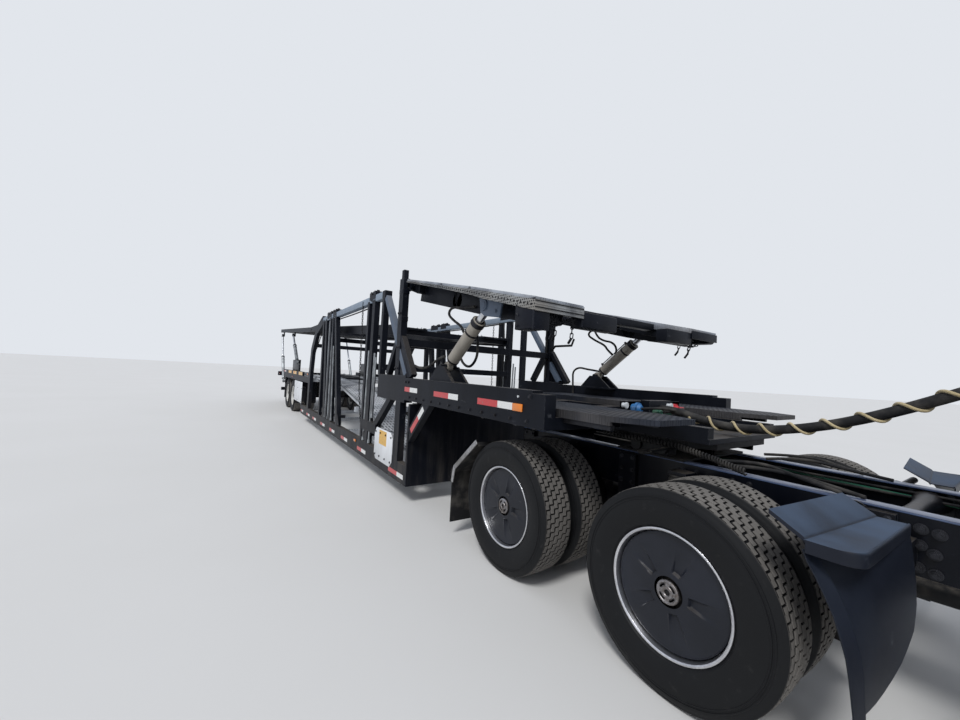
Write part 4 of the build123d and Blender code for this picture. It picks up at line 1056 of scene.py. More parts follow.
FENDER_OUTER = 1.28
FENDER_INNER = 0.635
FENDER_BOTTOM = [(0.6, 0.575), (0.7, 0.52), (0.8, 0.48), (0.95, 0.45), (1.1, 0.432), (1.3, 0.428)]
RIM_BACK = [(0.42, 0.683), (0.463, 0.682), (0.615, 0.666), (0.741, 0.634), (0.842, 0.59), (0.926, 0.543)]
RIM_FRONT = [(0.42, 0.7), (0.449, 0.699), (0.61, 0.693), (0.704, 0.671), (0.818, 0.629), (0.888, 0.585),
    (0.935, 0.556)]
PANEL_FRONT = [(0.42, 0.712), (0.55, 0.722), (0.65, 0.729), (0.75, 0.727), (0.9, 0.714), (0.94, 0.706)]


def slanted(x_out, x_in, y):
    """A station between the fender's outer edge and its inner one."""
    return x_out + (x_in - x_out) * (FENDER_OUTER - y) / (FENDER_OUTER - FENDER_INNER)


def fender_skin(bm):
    """The top, shelf, lip and bowed front of one fender, with its rolled outer rim."""
    across = [1.28, 1.279, 1.262, 1.24, 1.1, 0.95, 0.8, 0.7, 0.647, 0.636]
    rows = []
    for x_out, x_in, z in ((0.436, 0.5, 1.05), (0.541, 0.607, 0.987), (0.546, 0.611, 0.98), (0.549, 0.614,
            0.9745)):
        rows.append([at(slanted(x_out, x_in, y), y,
            z - (0.016 if y == 1.28 else 0.004 if y == 0.636 else 0.0)) for y in across])
    ribbon(bm, rows, 0.005)
    rows = []
    for x_out, x_in in ((0.545, 0.61), (0.6, 0.645), (0.65, 0.68), (0.697, 0.706)):
        row = []
        for y in (1.2795, 1.274, 1.262, 1.248, 1.234, 1.218, 1.1, 0.95, 0.8, 0.7, 0.647, 0.636):
            x = slanted(x_out, x_in, y)
            if y > 1.218:
                round_front = 0.637 + 0.06 * max(0.0, 1 - ((y - 1.218) / 0.0615) ** 2) ** 0.5
                x = min(x, round_front)
            row.append(at(x, y, 0.977))
        rows.append(row)
    ribbon(bm, rows, 0.005)
    edge = [(slanted(0.697, 0.706, y), y) for y in (0.637, 0.7, 0.8, 0.95, 1.1, 1.218)]
    edge += [(0.637 + 0.061 * cos(pi / 10 * k), 1.218 + 0.0615 * sin(pi / 10 * k)) for k in range(1, 6)]
    edge += [(0.6, 1.2795), (0.549, 1.2795)]
    rows = [[at(x - lean, y, z) for x, y in edge] for z, lean in ((0.9775, 0.005), (0.974, 0.001),
        (0.966, 0.0), (0.931, 0.001))]
    ribbon(bm, rows, 0.005)
    heights = [0.94, 0.905, 0.86, 0.81, 0.75, 0.69, 0.63, 0.57, 0.51, 0.46, 0.428]
    columns = [1.279, 1.266, 1.25, 1.234, 1.224, 1.2205, 1.19, 1.14, 1.08, 1.0, 0.9, 0.8, 0.72, 0.66, 0.636]
    rows = []
    for height in heights:
        row = []
        for y in columns:
            low = between(y, FENDER_BOTTOM)
            z = low + (0.94 - low) * (height - 0.428) / 0.512
            if y > 1.221:
                share = min(1.0, (1.279 - y) / 0.055)
                x = between(z, RIM_BACK) * (1 - share) + between(z, RIM_FRONT) * share
            else:
                share = sin(pi / 2 * (1.2205 - y) / 0.5845) ** 0.75
                x = (between(z, RIM_FRONT) - 0.018) * (1 - share) + between(z, PANEL_FRONT) * share
            row.append(at(x, y, z))
        rows.append(row)
    ribbon(bm, rows, 0.005)


def fender_mounts(bm):
    for x, z in ((0.64, 0.815), (0.5, 0.935)):
        rods(bm, (x, 0.434, z, x, 0.95, z, 0.021, 18), (x, 0.432, z, x, 0.446, z, 0.052, 24))
        for turn in range(4):
            angle = pi / 4 + turn * pi / 2
            bolt(bm, at(x + 0.037 * cos(angle), 0.445, z + 0.037 * sin(angle)), (0, 1, 0), 0.008)


def make_fenders():
    skin = form("fender_shells", FENDER_PLASTIC, "tractor", "fender_plastic", fender_skin, 50)
    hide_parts("quarter_fenders")
    form("fender_mounts", FRAME_PAINT, "tractor", "frame_black", fender_mounts)


# Head ramp

RAMP_LINE = [(-3.305, 2.585), (-2.4, 2.385), (-1.85, 2.262), (-0.96, 2.048)]
# The strip along each outer edge: deep ahead of the eye, shallow behind it
EDGE_TOP = [(-3.3, 2.58), (-2.4, 2.38), (-1.85, 2.257), (-0.96, 2.043)]
EDGE_LOW = [(-3.3, 2.562), (-2.418, 2.35), (-1.85, 2.206), (-1.6, 2.13), (-1.371, 2.072), (-0.96, 1.968)]


def below(drop, end=None):
    """The ramp's line lowered, with its front point moved if one is given."""
    line = [(x, z - drop) for x, z in RAMP_LINE]
    return line[:-1] + [end] if end else line


def beam_run(bm, line, width, y0, y1, bevel=0.004):
    """Bars end to end along a line of (station, height) points, with round joints between them."""
    y = (y0 + y1) / 2
    for a, b in zip(line, line[1:]):
        bar(bm, at(a[0], y, a[1]), at(b[0], y, b[1]), width, y1 - y0, bevel)
    for x, z in line[1:-1]:
        rods(bm, (x, y0, z, x, y1, z, width / 2, 32))


def ramp_runway(bm):
    beam_run(bm, RAMP_LINE, 0.036, 0.785, 1.275, 0.003)
    beam_run(bm, below(0.024), 0.066, 0.78, 0.798, 0.003)


def ramp_edges(bm):
    plate(bm, 1.262, 0.023, EDGE_TOP + EDGE_LOW[::-1], 0.002)


def ramp_beams(bm):
    beam_run(bm, below(0.125, (-1.15, 2.005)), 0.19, 1.04, 1.08)
    beam_run(bm, below(0.075, (-1.15, 2.015)), 0.12, 0.8, 0.84)
    boxes(bm, (-1.08, 0.37, 1.9, -0.96, 0.795, 2.025, 0.012))
    plate(bm, 1.13, 0.034, ((-3.44, 2.5), (-3.44, 2.59), (-3.25, 2.57), (-3.25, 2.44)), 0.004)
    rods(bm, (-3.38, 1.12, 2.545, -3.38, 1.208, 2.545, 0.045, 28))
    boxes(bm, (-3.26, 1.075, 2.44, -3.18, 1.164, 2.565, 0.004))
    for x, top in ((-3.2, 2.55), (-2.5, 2.392), (-1.9, 2.258), (-1.4, 2.14)):
        boxes(bm, (x - 0.04, 0, top - 0.075, x + 0.04, 1.06, top, 0.005))
    # Ribs between the two beams under each runway
    for x in steps_of(9, -3.05, 0.235):
        z = between(x, RAMP_LINE)
        boxes(bm, (x - 0.006, 0.84, z - 0.11, x + 0.006, 1.04, z - 0.02, 0.002))


def ramp_eye_plates(bm):
    outline = ((-1.79, 2.235), (-1.76, 2.045), (-1.69, 2.005), (-1.47, 1.972), (-1.43, 2.148))
    plate(bm, 1.188, 0.02, outline, 0.004)
    rods(bm, (-1.7, 1.12, 2.1, -1.7, 1.222, 2.1, 0.03, 28), (-1.7, 1.208, 2.1, -1.7, 1.218, 2.1, 0.048, 28))
    for x, z in ((-1.52, 2.03), (-1.52, 2.13), (-1.62, 2.15)):
        bolt(bm, at(x, 1.208, z), (0, 1, 0), 0.013)


def ramp_left_end(bm):
    """The round-cornered drum that the far box ends in."""
    boxes(bm, (-1.175, 1.135, 1.945, -0.965, 1.28, 2.055, 0.03, 4), (-0.962, 0.785, 1.965, -0.95, 1.285,
        2.045, 0.003))
    rods(bm, (-1.07, 1.128, 2.0, -1.07, 1.284, 2.0, 0.036, 28))


def ramp_right_end(bm):
    boxes(bm, (-1.175, -1.28, 1.842, -0.965, -1.135, 2.056, 0.008), (-1.18, -1.284, 2.04, -0.962, -1.13,
        2.058, 0.003), (-0.975, -1.284, 1.835, -0.96, -1.132, 2.058, 0.003))
    for z in (1.87, 1.95, 2.02):
        bolt(bm, at(-1.15, -1.28, z), (0, -1, 0), 0.009)


def holes(bm):
    """Round tie-down holes along the edge strips."""
    # Each hole is a thin near-black disc on the strip: painted shade
    for x in steps_of(58, -3.27, 0.04):
        high, low = between(x, EDGE_TOP), between(x, EDGE_LOW)
        z = (high + low) / 2
        rods(bm, (x, 1.2835, z, x, 1.2862, z, min(0.009, (high - low) * 0.28), 12))


def lashings(bm):
    for x, y in ((-0.99, 0.86), (-1.05, 0.98), (-1.13, 0.93)):
        top = at(x, y, between(x, RAMP_LINE) - 0.03)
        chain(bm, top, top - Vector((0.03, 0.02, 0.21)), 0.0)
        rod(bm, top - Vector((0.03, 0.02, 0.21)), top - Vector((0.06, 0.02, 0.25)), 0.01, 10)
    for start, end in ((at(-1.14, 1.12, 1.94), at(-0.98, 0.84, 1.97)), (at(-1.12, 0.78, 1.98),
            at(-1.06, 1.1, 1.93))):
        chain(bm, start, end, 0.045)


def make_head_ramp():
    runway = form("ramp_runways", RAMP_STEEL, "head_ramp", "runway_steel", ramp_runway)
    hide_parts("head_ramp")
    form("ramp_edges", EDGE_STEEL, "head_ramp", "runway_steel", ramp_edges)
    form("ramp_beams", TRAILER_PAINT, "head_ramp", "trailer_black", ramp_beams)
    form("ramp_eye_plates", SLATE_AND_SKY_REFLECTION, "head_ramp", "trailer_black", ramp_eye_plates)
    form("ramp_front_lip", EDGE_STEEL, "head_ramp", "runway_steel", lambda bm: box(bm, at(-0.962, -1.285,
        1.965), at(-0.95, -0.785, 2.045), 0.003), sides=1)
    form("ramp_left_end", TRAILER_PAINT, "head_ramp", "trailer_black", ramp_left_end, sides=1)
    form("ramp_right_end", POST_PAINT, "head_ramp", "trailer_black", ramp_right_end, sides=1)
    form("ramp_edge_holes", SHADOW_BLACK, "head_ramp", "trailer_black", holes)
    form("ramp_chains", DARK_STEEL, "head_ramp", "trailer_black", lashings)


# Side trusses: rails, braces, clamps, posts

def rails(bm):
    bar(bm, at(-8.15, 1.235, 2.5275), at(-4.142, 1.235, 2.5275), 0.099, 0.098, 0.004)
    bar(bm, at(-8.12, 1.236, 2.53), at(-8.74, 1.236, 2.372), 0.085, 0.1, 0.004)


def clamps(bm):
    for x0, x1 in ((-4.72, -4.45), (-7.65, -7.26), (-7.12, -6.85)):
        for x in (x0 + 0.05, x1 - 0.05):
            rods(bm, (x, 1.18, 2.632, x, 1.29, 2.632, 0.014, 14), (x, 1.235, 2.625, x, 1.235, 2.66, 0.022,
                18))
        for z in (2.5, 2.6):
            bolt(bm, at((x0 + x1) / 2, 1.29, z), (0, 1, 0), 0.013, False)


def posts(bm):
    # Bright tubes and guide bars beside the posts
    for x0, z0, x1, z1, reach in ((-4.66, 0.43, -4.64, 1.76, 0.016), (-4.4, 0.43, -4.37, 1.72, 0.013),
            (-4.33, 0.8, -4.31, 1.66, 0.012), (-7.3, 0.44, -7.4, 2.44, 0.019), (-7.06, 0.44, -7.13, 2.2,
            0.015), (-6.79, 0.44, -6.96, 1.9, 0.013)):
        rods(bm, (x0, 1.272, z0, x1, 1.272, z1, reach, 14), (x0, 1.272, z0, x0, 1.272, z0 + 0.05,
            reach * 1.5, 14))


def pin_holes(bm):
    # Holes in the posts as thin near-black discs: painted shade
    for x0, z0, x1, z1, first, last in ((-4.5, 0.42, -4.5, 2.5, 0.62, 2.4), (-3.44, 1.43, -3.44, 2.63, 1.52,
            2.44), (-7.4, 0.42, -7.75, 2.5, 0.62, 2.4), (-6.27, 0.42, -6.9, 2.5, 0.62, 2.4)):
        z = first
        while z < last:
            x = x0 + (x1 - x0) * (z - z0) / (z1 - z0)
            rods(bm, (x, 1.2885, z, x, 1.2912, z, 0.013, 14))
            z += 0.11


def gear(bm):
    # Winch bars, ratchets and the plates where the posts meet the sills
    for x, z in ((-4.6, 0.52), (-6.4, 0.56), (-6.95, 0.52), (-7.55, 0.56), (-9.3, 0.6), (-5.2, 0.31),
            (-8.6, 0.31)):
        rods(bm, (x, 1.1, z, x, 1.286, z, 0.03, 20), (x, 1.268, z, x, 1.289, z, 0.052, 12),
            (x - 0.03, 1.278, z + 0.01, x + 0.07, 1.278, z + 0.06, 0.008, 8))
    for x0, z0, x1, z1, width in ((-6.4, 0.43, -6.1, 0.43, 0.2), (-7.1, 0.43, -6.8, 0.43, 0.16),
            (-7.6, 0.43, -7.2, 0.43, 0.22)):
        slab(bm, [at(x0, 1.276, z0), at(x1, 1.276, z1), at((x0 + x1) / 2, 1.276, z0 + width)],
            Vector((0, 0.01, 0)), 0.002)


def straps(bm):
    chain(bm, at(-5.06, 1.282, 2.47), at(-5.02, 1.275, 1.2), 0.0)
    chain(bm, at(-5.02, 1.275, 1.2), at(-4.8, 1.27, 0.6), 0.05)
    rods(bm, (-5.06, 1.284, 2.545, -5.06, 1.284, 2.47, 0.01, 10))


def mast_arm(bm):
    rods(bm, (-3.42, 1.24, 1.9, -3.3, 1.24, 2.0, 0.017, 14), (-3.305, 1.24, 1.998, -2.965, 1.24, 1.998,
        0.017, 14), (-2.968, 1.24, 1.99, -2.92, 1.24, 2.095, 0.015, 14))


def mast_plates(bm):
    for z in (2.1, 2.44):
        boxes(bm, (-3.505, 1.206, z, -3.375, 1.2915, z + 0.06, 0.003))
    for z in (1.52, 1.78, 2.2):
        bolt(bm, at(-3.47, 1.29, z), (0, 1, 0), 0.014)
        bolt(bm, at(-3.41, 1.29, z), (0, 1, 0), 0.014)
    plate(bm, 1.268, 0.012, ((-3.375, 1.415), (-3.06, 1.415), (-3.06, 1.44), (-3.375, 1.9)), 0.003)


def make_side_frames():
    # The truss rails and front braces are coloured grey-blue as a painted sky reflection
    form("truss_rails", TRUSS_SKY_REFLECTION, "trailer", "trailer_black", rails)
    form("front_braces", SLATE_AND_SKY_REFLECTION, "trailer", "trailer_black", lambda bm: bar(bm, at(-4.01, 1.25, 2.48),
        at(-3.18, 1.25, 1.44), 0.078, 0.074, 0.004))

    form("rail_clamps", SHADOW_BLACK, "trailer", "trailer_black", clamps)
    form("guide_bars", GALVANISED, "trailer", "tank_metal", posts)
    form("pin_holes", SHADOW_BLACK, "trailer", "trailer_black", pin_holes)
    form("winch_gear", DARK_STEEL, "trailer", "trailer_black", gear)
    form("hanging_chains", DARK_STEEL, "trailer", "trailer_black", straps)
    form("mast_hooks", SHADOW_BLACK, "trailer", "trailer_black", mast_arm, sides=1)
    form("mast_plates", POST_PAINT, "trailer", "trailer_black", mast_plates)


# Tapes, plates and lamps

SIDE_FACE = 1.2905


def strips(bm, rows, height, thickness=0.0012):
    """Flat strips on the trailer's side, from rows of (start, end, low, face)."""
    for x0, x1, z, y in rows:
        boxes(bm, (x0, y, z, x1, y + thickness, z + height, 0.0004, 1))


def red_tail(bm):
    for y in (-0.6, 0, 0.6):
        boxes(bm, (-16.239, y - 0.15, 1.085, -16.2376, y + 0.15, 1.135))


def octagon(bm):
    """A white plate with cut corners on the front posts."""
    x0, x1, z0, z1, cut = -4.08, -3.42, 0.3, 0.72, 0.07
    outline = [(x0 + cut, z0), (x1 - cut, z0), (x1, z0 + cut), (x1, z1 - cut), (x1 - cut, z1),
        (x0 + cut, z1), (x0, z1 - cut), (x0, z0 + cut)]
    plate(bm, 1.2915, 0.003, outline, 0.001)
    boxes(bm, (-11.6, 1.285, 0.45, -10.25, 1.292, 1.02, 0.003))


def plate_bolts(bm):
    for x in (-4.03, -3.86, -3.66, -3.47):
        for z in (0.36, 0.66):
            bolt(bm, at(x, 1.2945, z), (0, 1, 0), 0.01)
    for x in (-11.55, -10.93, -10.3):
        for z in (0.49, 0.84):
            bolt(bm, at(x, 1.292, z), (0, 1, 0), 0.01)
    for step in range(12):
        bolt(bm, at(-0.975 - step * 0.185, 1.29, 1.195), (0, 1, 0), 0.01)
    for x in (-3.13, -3.05, -0.95):
        bolt(bm, at(x, 1.29, 1.365), (0, 1, 0), 0.012)


def labels(bm):
    strips(bm, [(-3.9, -3.63, 0.52, 1.2945)], 0.18)
    strips(bm, [(-13.1, -12.45, 1.2, 1.291), (-12.05, -11.4, 1.2, 1.291), (-10.98, -10.36, 1.2, 1.291)],
        0.088)


def amber(bm):
    boxes(bm, (-1.13, 1.288, 1.252, -1.02, 1.302, 1.308, 0.006))
    for x in (-5.05, -9.6, -11.9):
        boxes(bm, (x, 1.288, 0.35 if x > -9 else 1.24, x + 0.09, 1.302, 0.385 if x > -9 else 1.275, 0.005))


def small_white(bm):
    rods(bm, (-1.075, 1.288, 1.358, -1.075, 1.296, 1.358, 0.008, 18))


def valve_box(bm):
    boxes(bm, (-13.2, 1.1, 1.196, -12.0, 1.168, 1.64, 0.012))
    for x in (-13.05, -12.6, -12.15):
        boxes(bm, (x - 0.03, 1.166, 1.6, x + 0.03, 1.174, 1.635, 0.002))
        rods(bm, (x, 1.166, 1.3, x, 1.176, 1.3, 0.018, 18))


def tail_lamps(bm):
    for y in (0.62, 0.78, 0.94):
        rods(bm, (-16.236, y, 1.1, -16.254, y, 1.1, 0.055, 28))
    for y in (1.16, 1.23):
        rods(bm, (-16.236, y, 1.15, -16.25, y, 1.15, 0.022, 20))
    boxes(bm, (-16.25, 0, 1.145, -16.236, 0.05, 1.165, 0.002))
    for x in (-12.2, -15.6):
        boxes(bm, (x, 1.288, 1.09, x + 0.09, 1.302, 1.125, 0.005))


def lamp_rings(bm):
    for y in (0.62, 0.78, 0.94):
        tube_ring(bm, at(-16.244, y, 1.1), (1, 0, 0), 0.058, 0.006)
    boxes(bm, (-16.244, 0, 0.86, -16.238, 0.36, 1.03, 0.004))


def make_tapes():
    pairs = ((-3.52, -3.24, -3.05), (-4.87, -4.66, -4.45), (-5.87, -5.66, -5.45), (-6.77, -6.56, -6.35),
        (-7.62, -7.41, -7.2), (-8.52, -8.31, -8.1), (-9.32, -9.11, -8.9), (-10.18, -10.0, -9.82))
    red = [(a, b, 0.255, SIDE_FACE) for a, b, c in pairs]
    white = [(b, c, 0.255, SIDE_FACE) for a, b, c in pairs]
    red += [(-3.15, -3.0, 1.255, SIDE_FACE), (-2.4, -2.1, 1.255, SIDE_FACE), (-1.6, -1.32, 1.255,
        SIDE_FACE)]
    white += [(-3.0, -2.8, 1.255, SIDE_FACE), (-2.1, -1.92, 1.255, SIDE_FACE), (-1.32, -1.13, 1.255,
        SIDE_FACE)]
    red.append((-14.25, -14.0, 1.215, SIDE_FACE))
    white.append((-14.0, -13.75, 1.215, SIDE_FACE))
    tilt = Vector((0.555, 0, 0.535)).normalized()
    side = Vector((-tilt.z, 0, tilt.x)) * 0.03

    def brace_strip(bm, low, high):
        foot = at(-3.005, 1.2855, 0.745)
        a, b = foot + tilt * low, foot + tilt * high
        slab(bm, [a + side, b + side, b - side, a - side], Vector((0, 0.0012, 0)))

    def red_shapes(bm):
        strips(bm, red, 0.052)
        brace_strip(bm, 0.12, 0.36)

    def white_shapes(bm):
        strips(bm, white, 0.052)
        brace_strip(bm, 0.36, 0.52)
        for y in (-0.9, -0.3, 0.3, 0.9):
            boxes(bm, (-16.239, y - 0.12, 1.085, -16.2376, y + 0.12, 1.135))
    form("red_tapes", RED_TAPE, "trailer", "trailer_black", red_shapes)
    form("white_tapes", WHITE_TAPE, "trailer", "trailer_black", white_shapes)
    form("tail_tapes", RED_TAPE, "trailer", "trailer_black", red_tail, sides=1)
    form("white_plates", PLATE_WHITE, "trailer", "tank_metal", octagon)
    form("plate_bolts", DARK_STEEL, "trailer", "tank_metal", plate_bolts)
    form("blank_labels", YELLOW_TAPE, "trailer", "tank_metal", labels)
    form("amber_lamps", AMBER_LENS, "trailer", "lamp_glass", amber)
    form("clear_markers", CLEAR_LENS, "trailer", "lamp_glass", small_white)
    form("valve_boxes", TRIM_BLACK, "trailer", "trailer_black", valve_box)
    form("tail_lamps", RED_LENS, "trailer", "lamp_glass", tail_lamps)
    form("lamp_rings", BLACK_RUBBER, "trailer", "trailer_black", lamp_rings)


# Lift cylinders

CYLINDERS = [
    # name, base, eye, side, barrel radius, rod radius, barrel's share of the run
    ("ramp", (-2.38, 1.56), (-1.7, 2.1), 1.15, 0.062, 0.034, 0.78),
    ("tail", (-14.75, 0.85), (-16.0, 2.62), 1.24, 0.05, 0.032, 0.52),
    ("prop", (-11.75, 1.56), (-13.05, 2.47), 1.24, 0.048, 0.03, 0.6),
]


def make_cylinder_fittings():
    for name, base, eye, y, tube, rod_radius, share in CYLINDERS:
        start, end = at(base[0], y, base[1]), at(eye[0], y, eye[1])
        along = (end - start).normalized()
        run = (end - start).length

        def barrel_fittings(bm):
            top = start + along * run * share
            rod(bm, top - along * 0.05, top - along * 0.004, tube * 1.1, 32)
            rod(bm, top - along * 0.004, top + along * 0.004, rod_radius * 1.35, 32)
            rod(bm, top - along * 0.17, top - along * 0.15, tube * 1.05, 32)
            rod(bm, start + along * 0.105, start + along * 0.125, tube * 1.04, 32)
            for reach in (0.15, run * share - 0.09):
                spot = start + along * reach
                lift = Vector((-along.z, 0, along.x))
                rod(bm, spot + lift * tube * 0.9, spot + lift * (tube + 0.022), 0.017, 14)
                rod(bm, spot + lift * (tube + 0.02), spot + lift * (tube + 0.036), 0.013, 6)
        form(name + "_barrel_fittings", DARK_STEEL, name + "_barrels", "barrel_paint", barrel_fittings)

        def line_pipe(bm):
            lift = Vector((-along.z, 0, along.x)) * (tube + 0.022)
            rod(bm, start + along * 0.15 + lift, start + along * (run * share - 0.09) + lift, 0.007, 10)
        form(name + "_barrel_pipes", GALVANISED, name + "_barrels", "barrel_paint", line_pipe)

        def eye_ring(bm):
            tube_ring(bm, end + Vector((0, 0.024, 0)), (0, 1, 0), 0.036, 0.006)
            rod(bm, end + Vector((0, -0.0268, 0)), end + Vector((0, 0.0268, 0)), 0.024, 24)
            rod(bm, end - along * 0.085, end - along * 0.045, rod_radius * 1.25, 24)
        form(name + "_eye_rings", DARK_STEEL, name + "_rods", "rod_steel", eye_ring)


def near(points, y):
    return [at(x, y, z) for x, z in points]


def make_hoses():
    """Loops on the ramp's barrels, the lines under them, and the runs up and along the trusses."""
    loop = ((-2.02, 2.14), (-2.24, 2.153), (-2.47, 2.191), (-2.55, 2.12), (-2.41, 2.038), (-2.25, 1.97),
        (-2.2, 1.9), (-2.12, 1.84))
    hoses("barrel_hoses", [near(loop, -1.1), near(loop, 1.1)], 0.0135, BLACK_RUBBER, "ramp_barrels")
    lines = [near(points, y) for y, points in (
        (-1.21, ((-3.38, 1.62), (-3.083, 1.556), (-2.889, 1.525), (-2.692, 1.551), (-2.5, 1.64),
            (-2.36, 1.66))),
        (-0.95, ((-2.55, 1.8), (-2.5, 1.662), (-2.388, 1.578), (-2.269, 1.569), (-2.166, 1.661),
            (-2.159, 1.8), (-2.2, 1.95))),
        (1.15, ((-2.48, 2.205), (-2.423, 2.092), (-2.304, 2.032), (-2.176, 2.013), (-2.095, 1.932),
            (-2.12, 1.816), (-2.223, 1.698), (-2.36, 1.64))),
        (1.18, ((-2.838, 1.24), (-2.851, 1.485), (-2.859, 1.615), (-2.748, 1.675), (-2.6, 1.649),
            (-2.494, 1.638), (-2.36, 1.62))))]
    hoses("lift_hoses", lines, 0.0135, BLACK_RUBBER, "trailer")
    runs = [near(points, side * y) for y, points in (
        (1.195, ((-3.45, 1.5), (-3.44, 2.0), (-3.46, 2.4), (-3.42, 2.6))),
        (1.2, ((-4.58, 0.45), (-4.6, 1.3), (-4.56, 2.1), (-4.62, 2.44))),
        (1.198, ((-4.62, 2.455), (-5.6, 2.44), (-6.9, 2.45), (-8.0, 2.44), (-8.5, 2.33), (-9.1, 1.9))))
        for side in (1, -1)]
    hoses("truss_hoses", runs, 0.011, BLACK_RUBBER, "trailer")


# Couplings, hoses and gear at the trailer's nose

def bracket(bm):
    boxes(bm, (-0.872, -0.42, 1.236, -0.856, 0.42, 1.35, 0.004))
    for y in (-0.36, -0.12, 0.12, 0.36):
        bolt(bm, at(-0.856, y, 1.262), (1, 0, 0), 0.009)
    # Ratchets of the front tie-downs and the rail that they slide on
    for x in (-1.29, -1.08, -1.75, -2.35):
        for y in (0.56, 1.11):
            rods(bm, (x, y - 0.02, 1.165, x, y + 0.02, 1.165, 0.052, 12), (x, y - 0.045, 1.165, x,
                y + 0.045, 1.165, 0.026, 20))
            boxes(bm, (x - 0.05, y - 0.024, 1.165, x + 0.05, y - 0.018, 1.238, 0.002))
    boxes(bm, (-2.9, 0.575, 1.205, -0.42, 0.615, 1.24, 0.004), (-2.9, 1.075, 1.205, -0.42, 1.115, 1.24,
        0.004))


def coupling(bm, x, y, z, size=1.0):
    """An air coupling: its body, its round face and its locking lug."""
    rods(bm, (x, y, z, x + 0.036, y, z, 0.034 * size, 24), (x + 0.034, y, z, x + 0.056, y, z, 0.047 * size,
        28), (x + 0.056, y, z, x + 0.08, y, z, 0.036 * size, 24, 0.024 * size))
    boxes(bm, (x + 0.034, y - 0.08 * size, z - 0.017, x + 0.056, y + 0.03 * size, z + 0.017, 0.006, 3))


def plug_caps(bm):
    for x, y in ((-0.856, -0.4), (-0.78, 0.1)):
        rods(bm, (x, y, 1.318, x + 0.04, y, 1.318, 0.021, 18), (x + 0.03, y, 1.318, x + 0.036, y, 1.318,
            0.026, 18))


def make_nose():
    form("nose_bracket", DARK_STEEL, "trailer", "trailer_black", bracket)
    form("service_coupling", BLUE_PLASTIC, "trailer", "line_wrap", lambda bm: coupling(bm, -0.856, -0.27,
        1.295), sides=1)
    form("supply_coupling", RED_PLASTIC, "trailer", "line_wrap", lambda bm: coupling(bm, -0.856, 0.27,
        1.285), sides=1)
    form("electric_plug", GREEN_HOSE, "trailer", "line_wrap", lambda bm: coupling(bm, -0.78, -0.095, 1.266,
        0.7), sides=1)
    form("plug_caps", CLEAR_LENS, "trailer", "line_wrap", plug_caps, sides=1)
    lines = []
    for x, y, z, lean in ((-0.776, -0.27, 1.295, -0.03), (-0.776, 0.27, 1.285, 0.03), (-0.724, -0.095,
            1.266, -0.01)):
        lines.append([at(x, y, z), at(x + 0.03, y, z + 0.006), at(-0.705, y * 0.7 + lean, z + 0.012),
            at(-0.69, y * 0.35, z + 0.01), at(-0.64, lean, 1.294)])
    hoses("nose_hoses", lines, 0.011, BLACK_RUBBER, "trailer")

    hoses("supply_stub", [[at(-0.806, 0.05, 1.284), at(-0.792, 0.18, 1.302), at(-0.8, 0.32, 1.296),
        at(-0.822, 0.42, 1.288)]], 0.013, RED_PLASTIC, "trailer")
    hoses("electric_stub", [[at(-0.756, -0.13, 1.258), at(-0.74, -0.02, 1.252), at(-0.752, 0.1, 1.258)]],
        0.012, GREEN_HOSE, "trailer")
    clutter = [[at(-0.2, -0.36, 1.02), at(0.02, -0.28, 1.06), at(0.22, -0.34, 1.03), at(0.44, -0.4, 1.0)],
        [at(-0.14, -0.4, 1.01), at(0.06, -0.36, 1.04), at(0.3, -0.3, 1.02), at(0.52, -0.36, 0.995)],
        [at(-0.1, 0.2, 1.01), at(0.08, 0.28, 1.05), at(0.3, 0.3, 1.02), at(0.5, 0.36, 0.995)],
        [at(-0.16, 0.34, 1.02), at(0.1, 0.38, 1.06), at(0.28, 0.4, 1.01), at(0.36, 0.4, 0.997)]]
    hoses("coupling_hoses", clutter, 0.01, BLACK_RUBBER, "tractor")

    # A coiled air hose that lies along the coupling plate's edge
    path = [at(*spot) for spot in ((-0.94, -0.51, 1.1), (-0.62, -0.512, 1.098), (-0.34, -0.512, 1.096),
        (-0.12, -0.515, 1.06), (0.06, -0.52, 1.022))]
    spots = []
    turns, per_turn, reach = 46, 8, 0.017
    for step in range(turns * per_turn):
        length = step / (turns * per_turn) * (len(path) - 1)
        index = int(length)
        angle = 2 * pi * step / per_turn
        place = path[index].lerp(path[index + 1], length - index)
        spots.append(place + Vector((0, cos(angle) * reach, sin(angle) * reach)))
    hoses("coiled_hose", [spots], 0.0055, BLACK_RUBBER, "tractor")


# Tractor frame

def spool(bm):
    """The waisted cast cross-member between the rails."""
    for lift in (1, -1):
        rows = []
        for step in range(17):
            y = -0.405 + step * 0.81 / 16
            wide = 0.04 + 0.048 * (abs(y) / 0.405) ** 2.2
            tall = 0.052 + 0.016 * (abs(y) / 0.405) ** 2.2
            rows.append([at(0.64 - wide * cos(pi * k / 8), y, 0.908 + lift * tall * sin(pi * k / 8)) for k
                in range(9)])
        ribbon(bm, rows, 0.006)
    for y in (-0.412, 0.412):
        boxes(bm, (0.548, y - 0.008, 0.758, 0.732, y + 0.008, 0.966, 0.004))


def flanges(bm):
    """The rounded upper corners of the rails, coloured sky blue as a painted reflection."""
    boxes(bm, (-2.0, 0.34, 0.9735, 1.13, 0.433, 0.9865, 0.006, 3))


def rail_bolts(bm):
    for x, z in ((0.712, 0.924), (0.766, 0.918), (0.709, 0.854), (0.704, 0.756), (0.756, 0.745),
            (0.752, 0.828)):
        rods(bm, (x, 0.432, z, x, 0.44, z, 0.024, 18), (x, 0.44, z, x, 0.456, z, 0.017, 6), (x, 0.456, z, x,
            0.466, z, 0.01, 12))
    for station, face in ((-1.88, 0.462), (0.57, 0.47), (-0.75, 0.47), (-1.32, 0.432), (-0.3, 0.432),
            (0.0, 0.432), (1.9, 0.432), (3.1, 0.432), (4.2, 0.432), (5.1, 0.432)):
        for dx in (-0.045, 0.045):
            for z in (0.76, 0.85, 0.94):
                bolt(bm, at(station + dx, face, z), (0, 1, 0), 0.012)


